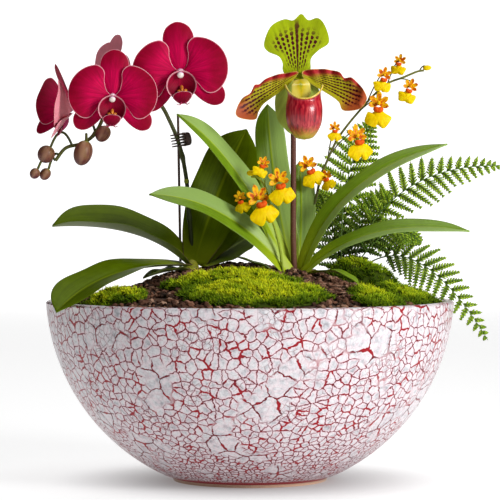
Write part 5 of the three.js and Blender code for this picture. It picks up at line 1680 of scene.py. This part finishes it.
def spray_flower(draw, size):
    """One small flower that faces -Y: a broad two-lobed lip, five tepals and a crest. The smallest
    are still closed buds."""
    tilt = (draw.random(3) - 0.5) * [60, 50, 24]
    seed = draw.random() * 6
    if size < 0.5:
        return joined(egg((-8, 0, 0), (9, -1, 1), 5.2, 14, 14)), None, 0 * tilt

    def lip_depth(x, z, ring):
        """The lip's lobes are domed, fall back at their rims and wave."""
        return -5.5 + 2.6 * ring**2 + 0.6 * ring**4 * np.sin(6 * np.arctan2(z + 19, x) + seed)

    lips = [plate(wavy(lip_outline, seed), (0, -19), (0, -8), lip_depth, 0.8, (9, 44))]
    tepals = []
    for degrees, reach in tepal_lengths:
        a = math.radians(degrees)
        tip = np.array([reach * math.cos(a), -1.5, reach * math.sin(a) - 5])
        bend = (tip + [0, 0, -5]) * [0.5, 0, 0.5] + [0, 1.2, 0]
        tepals.append(blade((0, 0, -5), bend, tip, 4.8, (0, -1, 0), 0.25, 0.62, 2.2, 0.25, 0.7,
                            wave=ruffle(degrees + seed, 0.4, 3), size=(10, 12)))
    tepals.append(egg((0, -4.5, -3.4), (0, 0, -6), 1.7, 8, 8))
    for side in (-1, 1):
        points, faces, spans = egg((side * 4.2, -4.5, -9.5), (-side * 1.5, -6.5, -12), 2.5, 8, 10)
        tepals.append((points, faces, {"blade": 0 * spans["blade"] + crest_mark}))
    return joined(*lips), joined(*tepals), tilt


draw = np.random.default_rng(14)
for side, spray in sprays.items():
    steps = 120
    route = smooth_route(spray["route"], steps)
    stems = [tube(route, jointed(steps, spray_radius, (0.25, 0.45), 0.3), 12, slipper_place)]
    lips, tepals = [], []
    for at, size, leaves_at in spray["flowers"]:
        start = route[min(int(leaves_at * (steps - 1)), steps - 1)]
        end = np.array(at) + [0, 2 * size, 1]
        stems.append(tube(stalk(start, end, 2.5, 8), 0.55, 8, slipper_place))
        lip, tepal, tilt = spray_flower(draw, size)
        turn = turn_matrix(tilt[0], tilt[1], tilt[2])
        for shapes, shape in ((lips, lip), (tepals, tepal)):
            if shape:
                points, faces, spans = shape
                shapes.append((size * points @ turn.T + at + np.array(slipper_place), faces, spans))
    node = f"dancing_orchid_{side}_spray"
    paint = stem_material(f"{side}_spray_stem", spray["low"], spray["high"], (0.12, 0.05, 0.02))
    add_piece(node + "_stems", joined(*stems), paint, node)
    add_piece(node + "_lips", joined(*lips), lip_yellow, node)
    add_piece(node + "_tepals", joined(*tepals), tepal_paint, node)

# Fern
# Seven finely cut fronds arch out of the crown. Each is a thin wiry rib with pairs of side ribs, and
# each side rib has pairs of small pointed leaflets that grow shorter towards its end.
fern_place = (*plants["fern"]["place"], plants["fern"]["top"])
fronds = [
    dict(base=(1, 0, 4), bend=(29, 1, 108), tip=(137, -2, 106), pairs=16, reach=27, bare=0.28),
    dict(base=(3, -3, 4), bend=(55, -16, 67), tip=(121, -58, -45), pairs=16, reach=25, bare=0.28),
    dict(base=(-2, 2, 4), bend=(-9, 9, 98), tip=(24, 12, 145), pairs=13, reach=30, bare=0.32),
    dict(base=(1, -5, 4), bend=(36, -11, 68), tip=(66, -16, 38), pairs=13, reach=20, bare=0.22),
    dict(base=(-2, 4, 4), bend=(-14, 22, 62), tip=(-23, 30, 81), pairs=15, reach=27, bare=0.08),
    dict(base=(2, 3, 4), bend=(9, 14, 74), tip=(42, 20, 81), pairs=16, reach=24, bare=0.08),
    dict(base=(0, 5, 4), bend=(10, 40, 70), tip=(40, 70, 30), pairs=15, reach=24, bare=0.12),
]
frond_facing = np.array([0, -1, 0.6])
pinna_slant = 0.42
leaflet_gap = 2.5
leaflet_width = 2.0
tip_width = 3.4
leaflet_faces = np.array([
    (0, 1, 5), (1, 2, 5), (2, 3, 5), (3, 4, 5), (4, 0, 5),
    (1, 0, 6), (2, 1, 6), (3, 2, 6), (4, 3, 6), (0, 4, 6),
])


def leaflets(root, aim, across, up, length, width):
    """Thin closed tongues from root along aim: broad where they join the rib, a little narrower two
    thirds of the way out, then pointed, with a low ridge above and below. All arguments are arrays
    with one row for each leaflet."""
    length, width = length[:, None], width[:, None]
    foot = root - aim * 0.2
    shoulder = root + aim * length * 0.68
    middle = root + aim * length * 0.4
    corners = [foot + across * width * 0.58, shoulder + across * width * 0.4, root + aim * length,
               shoulder - across * width * 0.4, foot - across * width * 0.58,
               middle + up * 0.16, middle - up * 0.16]
    return np.stack(corners, 1).reshape(-1, 3)


def frond_parts(draw, frond):
    """A frond's ribs and leaflets. A pinna at share s of the leafy part is reach long, less where s
    is small and falling off with the root of 1 - s, and its leaflets shorten in the same way."""
    steps = 40
    route, along = quadratic(frond["base"], frond["bend"], frond["tip"], np.linspace(0, 1, steps))
    ribs = [tube(route, 0.75 * (1 - 0.65 * np.linspace(0, 1, steps)), 8)]
    parts = []
    for pair in range(frond["pairs"]):
        share = 1 - (1 - (pair + 0.5) / frond["pairs"]) ** 1.35
        t = frond["bare"] + (0.985 - frond["bare"]) * share
        for hand in (-1, 1):
            at = t + 0.008 * hand
            place = np.array([np.interp(at * (steps - 1), np.arange(steps), route[:, i]) for i in range(3)])
            forward = along[min(int(at * (steps - 1)), steps - 1)]
            side = np.cross(forward, frond_facing)
            side = hand * side / np.linalg.norm(side)
            up = np.cross(side, forward) * hand
            length = frond["reach"] * min(0.62 + 1.1 * share, (1 - share) ** 0.75 * 1.25 + 0.08)
            length = length * (0.92 + 0.16 * draw.random())
            aim = side * math.cos(pinna_slant) + forward * math.sin(pinna_slant)
            aim = aim + 0.10 * up * (draw.random() - 0.3)
            end = place + aim * length + np.array([0, 0, -0.10 * length])
            bend = place + aim * length * 0.5 + up * 0.05 * length
            rib, rib_along = quadratic(place, bend, end, np.linspace(0, 1, 7))
            ribs.append(tube(rib, np.linspace(0.45, 0.2, 7), 5))
            chord = (end - place)[None] / np.linalg.norm(end - place)
            parts.append((
                place[None], chord, np.cross(chord, up[None]), up[None],
                np.array([length + 2]), np.array([tip_width]), draw.random(1)))
            count = max(int(length / leaflet_gap), 3)
            s = (np.arange(count) + 0.7) / count
            rib_places = np.stack([np.interp(s * 6, np.arange(7), rib[:, i]) for i in range(3)], -1)
            rib_aims = rib_along[np.minimum((s * 6).astype(int), 6)]
            for leaf_hand in (-1, 1):
                leaf_side = unit(np.cross(rib_aims, up[None]) * leaf_hand)
                spread = leaf_side * 0.80 + rib_aims * 0.60 + 0.15 * up * (draw.random((count, 1)) - 0.5)
                spread = unit(spread)
                cross = unit(np.cross(spread, up[None]))
                size = (1.3 + 4.4 * np.minimum(1.15 - s, 1)) * min(1, 0.35 + length / 30)
                parts.append((
                    rib_places, spread, cross, np.cross(cross, spread),
                    size * (0.9 + 0.2 * draw.random(count)), np.full(count, leaflet_width),
                    draw.random(count)))
    *shapes, tones = (np.concatenate(part) for part in zip(*parts))
    points = leaflets(*shapes)
    corners = 7
    count = len(points) // corners
    tones = np.repeat(tones, corners)
    span = np.stack([tones, np.tile([0, 0.7, 1, 0.7, 0, 0.4, 0.4], count), 0 * tones], -1)
    green = (points, many(corners, leaflet_faces, count), {"blade": span})
    return joined(*ribs), green


frond_paint = new_material(
    "fern_leaflet", Roughness=0.55, Specular_IOR_Level=0.2, **lit_through(0.12, (0.3, 0.5, 0.1), 0.001))
tone = blade_coordinates()[0]
green = plus(times(tone, 0.5), times(noise(60), 0.5))
green = ramp(green, [(0.25, (0.11, 0.20, 0.002)), (0.5, (0.23, 0.37, 0.007)), (0.8, (0.42, 0.58, 0.05))])
crown = tuple(MM * c for c in fern_place)
from_crown = put("ShaderNodeVectorMath", {0: own_place(), 1: crown}, operation="DISTANCE").outputs["Value"]
# Painted shade: the leaflets darken to a near-black green within about eight centimetres of the fern's crown,
# under the fronds.
inner = times(fade(from_crown, 0.085, 0.04), 0.9)
green = blend(inner, green, (0.020, 0.045, 0.002))
feed(green)
rib_paint = stem_material("fern_rib", (0.07, 0.12, 0.02), (0.12, 0.26, 0.03), (0.05, 0.04, 0.02))
draw = np.random.default_rng(15)
for number, frond in enumerate(fronds, 1):
    ribs, green = frond_parts(draw, frond)
    node = f"fern_frond_{number}"
    for label, shape, paint in (("ribs", ribs, rib_paint), ("leaflets", green, frond_paint)):
        points, faces, spans = shape
        points = points + np.array(fern_place)
        add_piece(f"{node}_{label}", (points, faces, spans), paint, node, weld=label == "ribs")
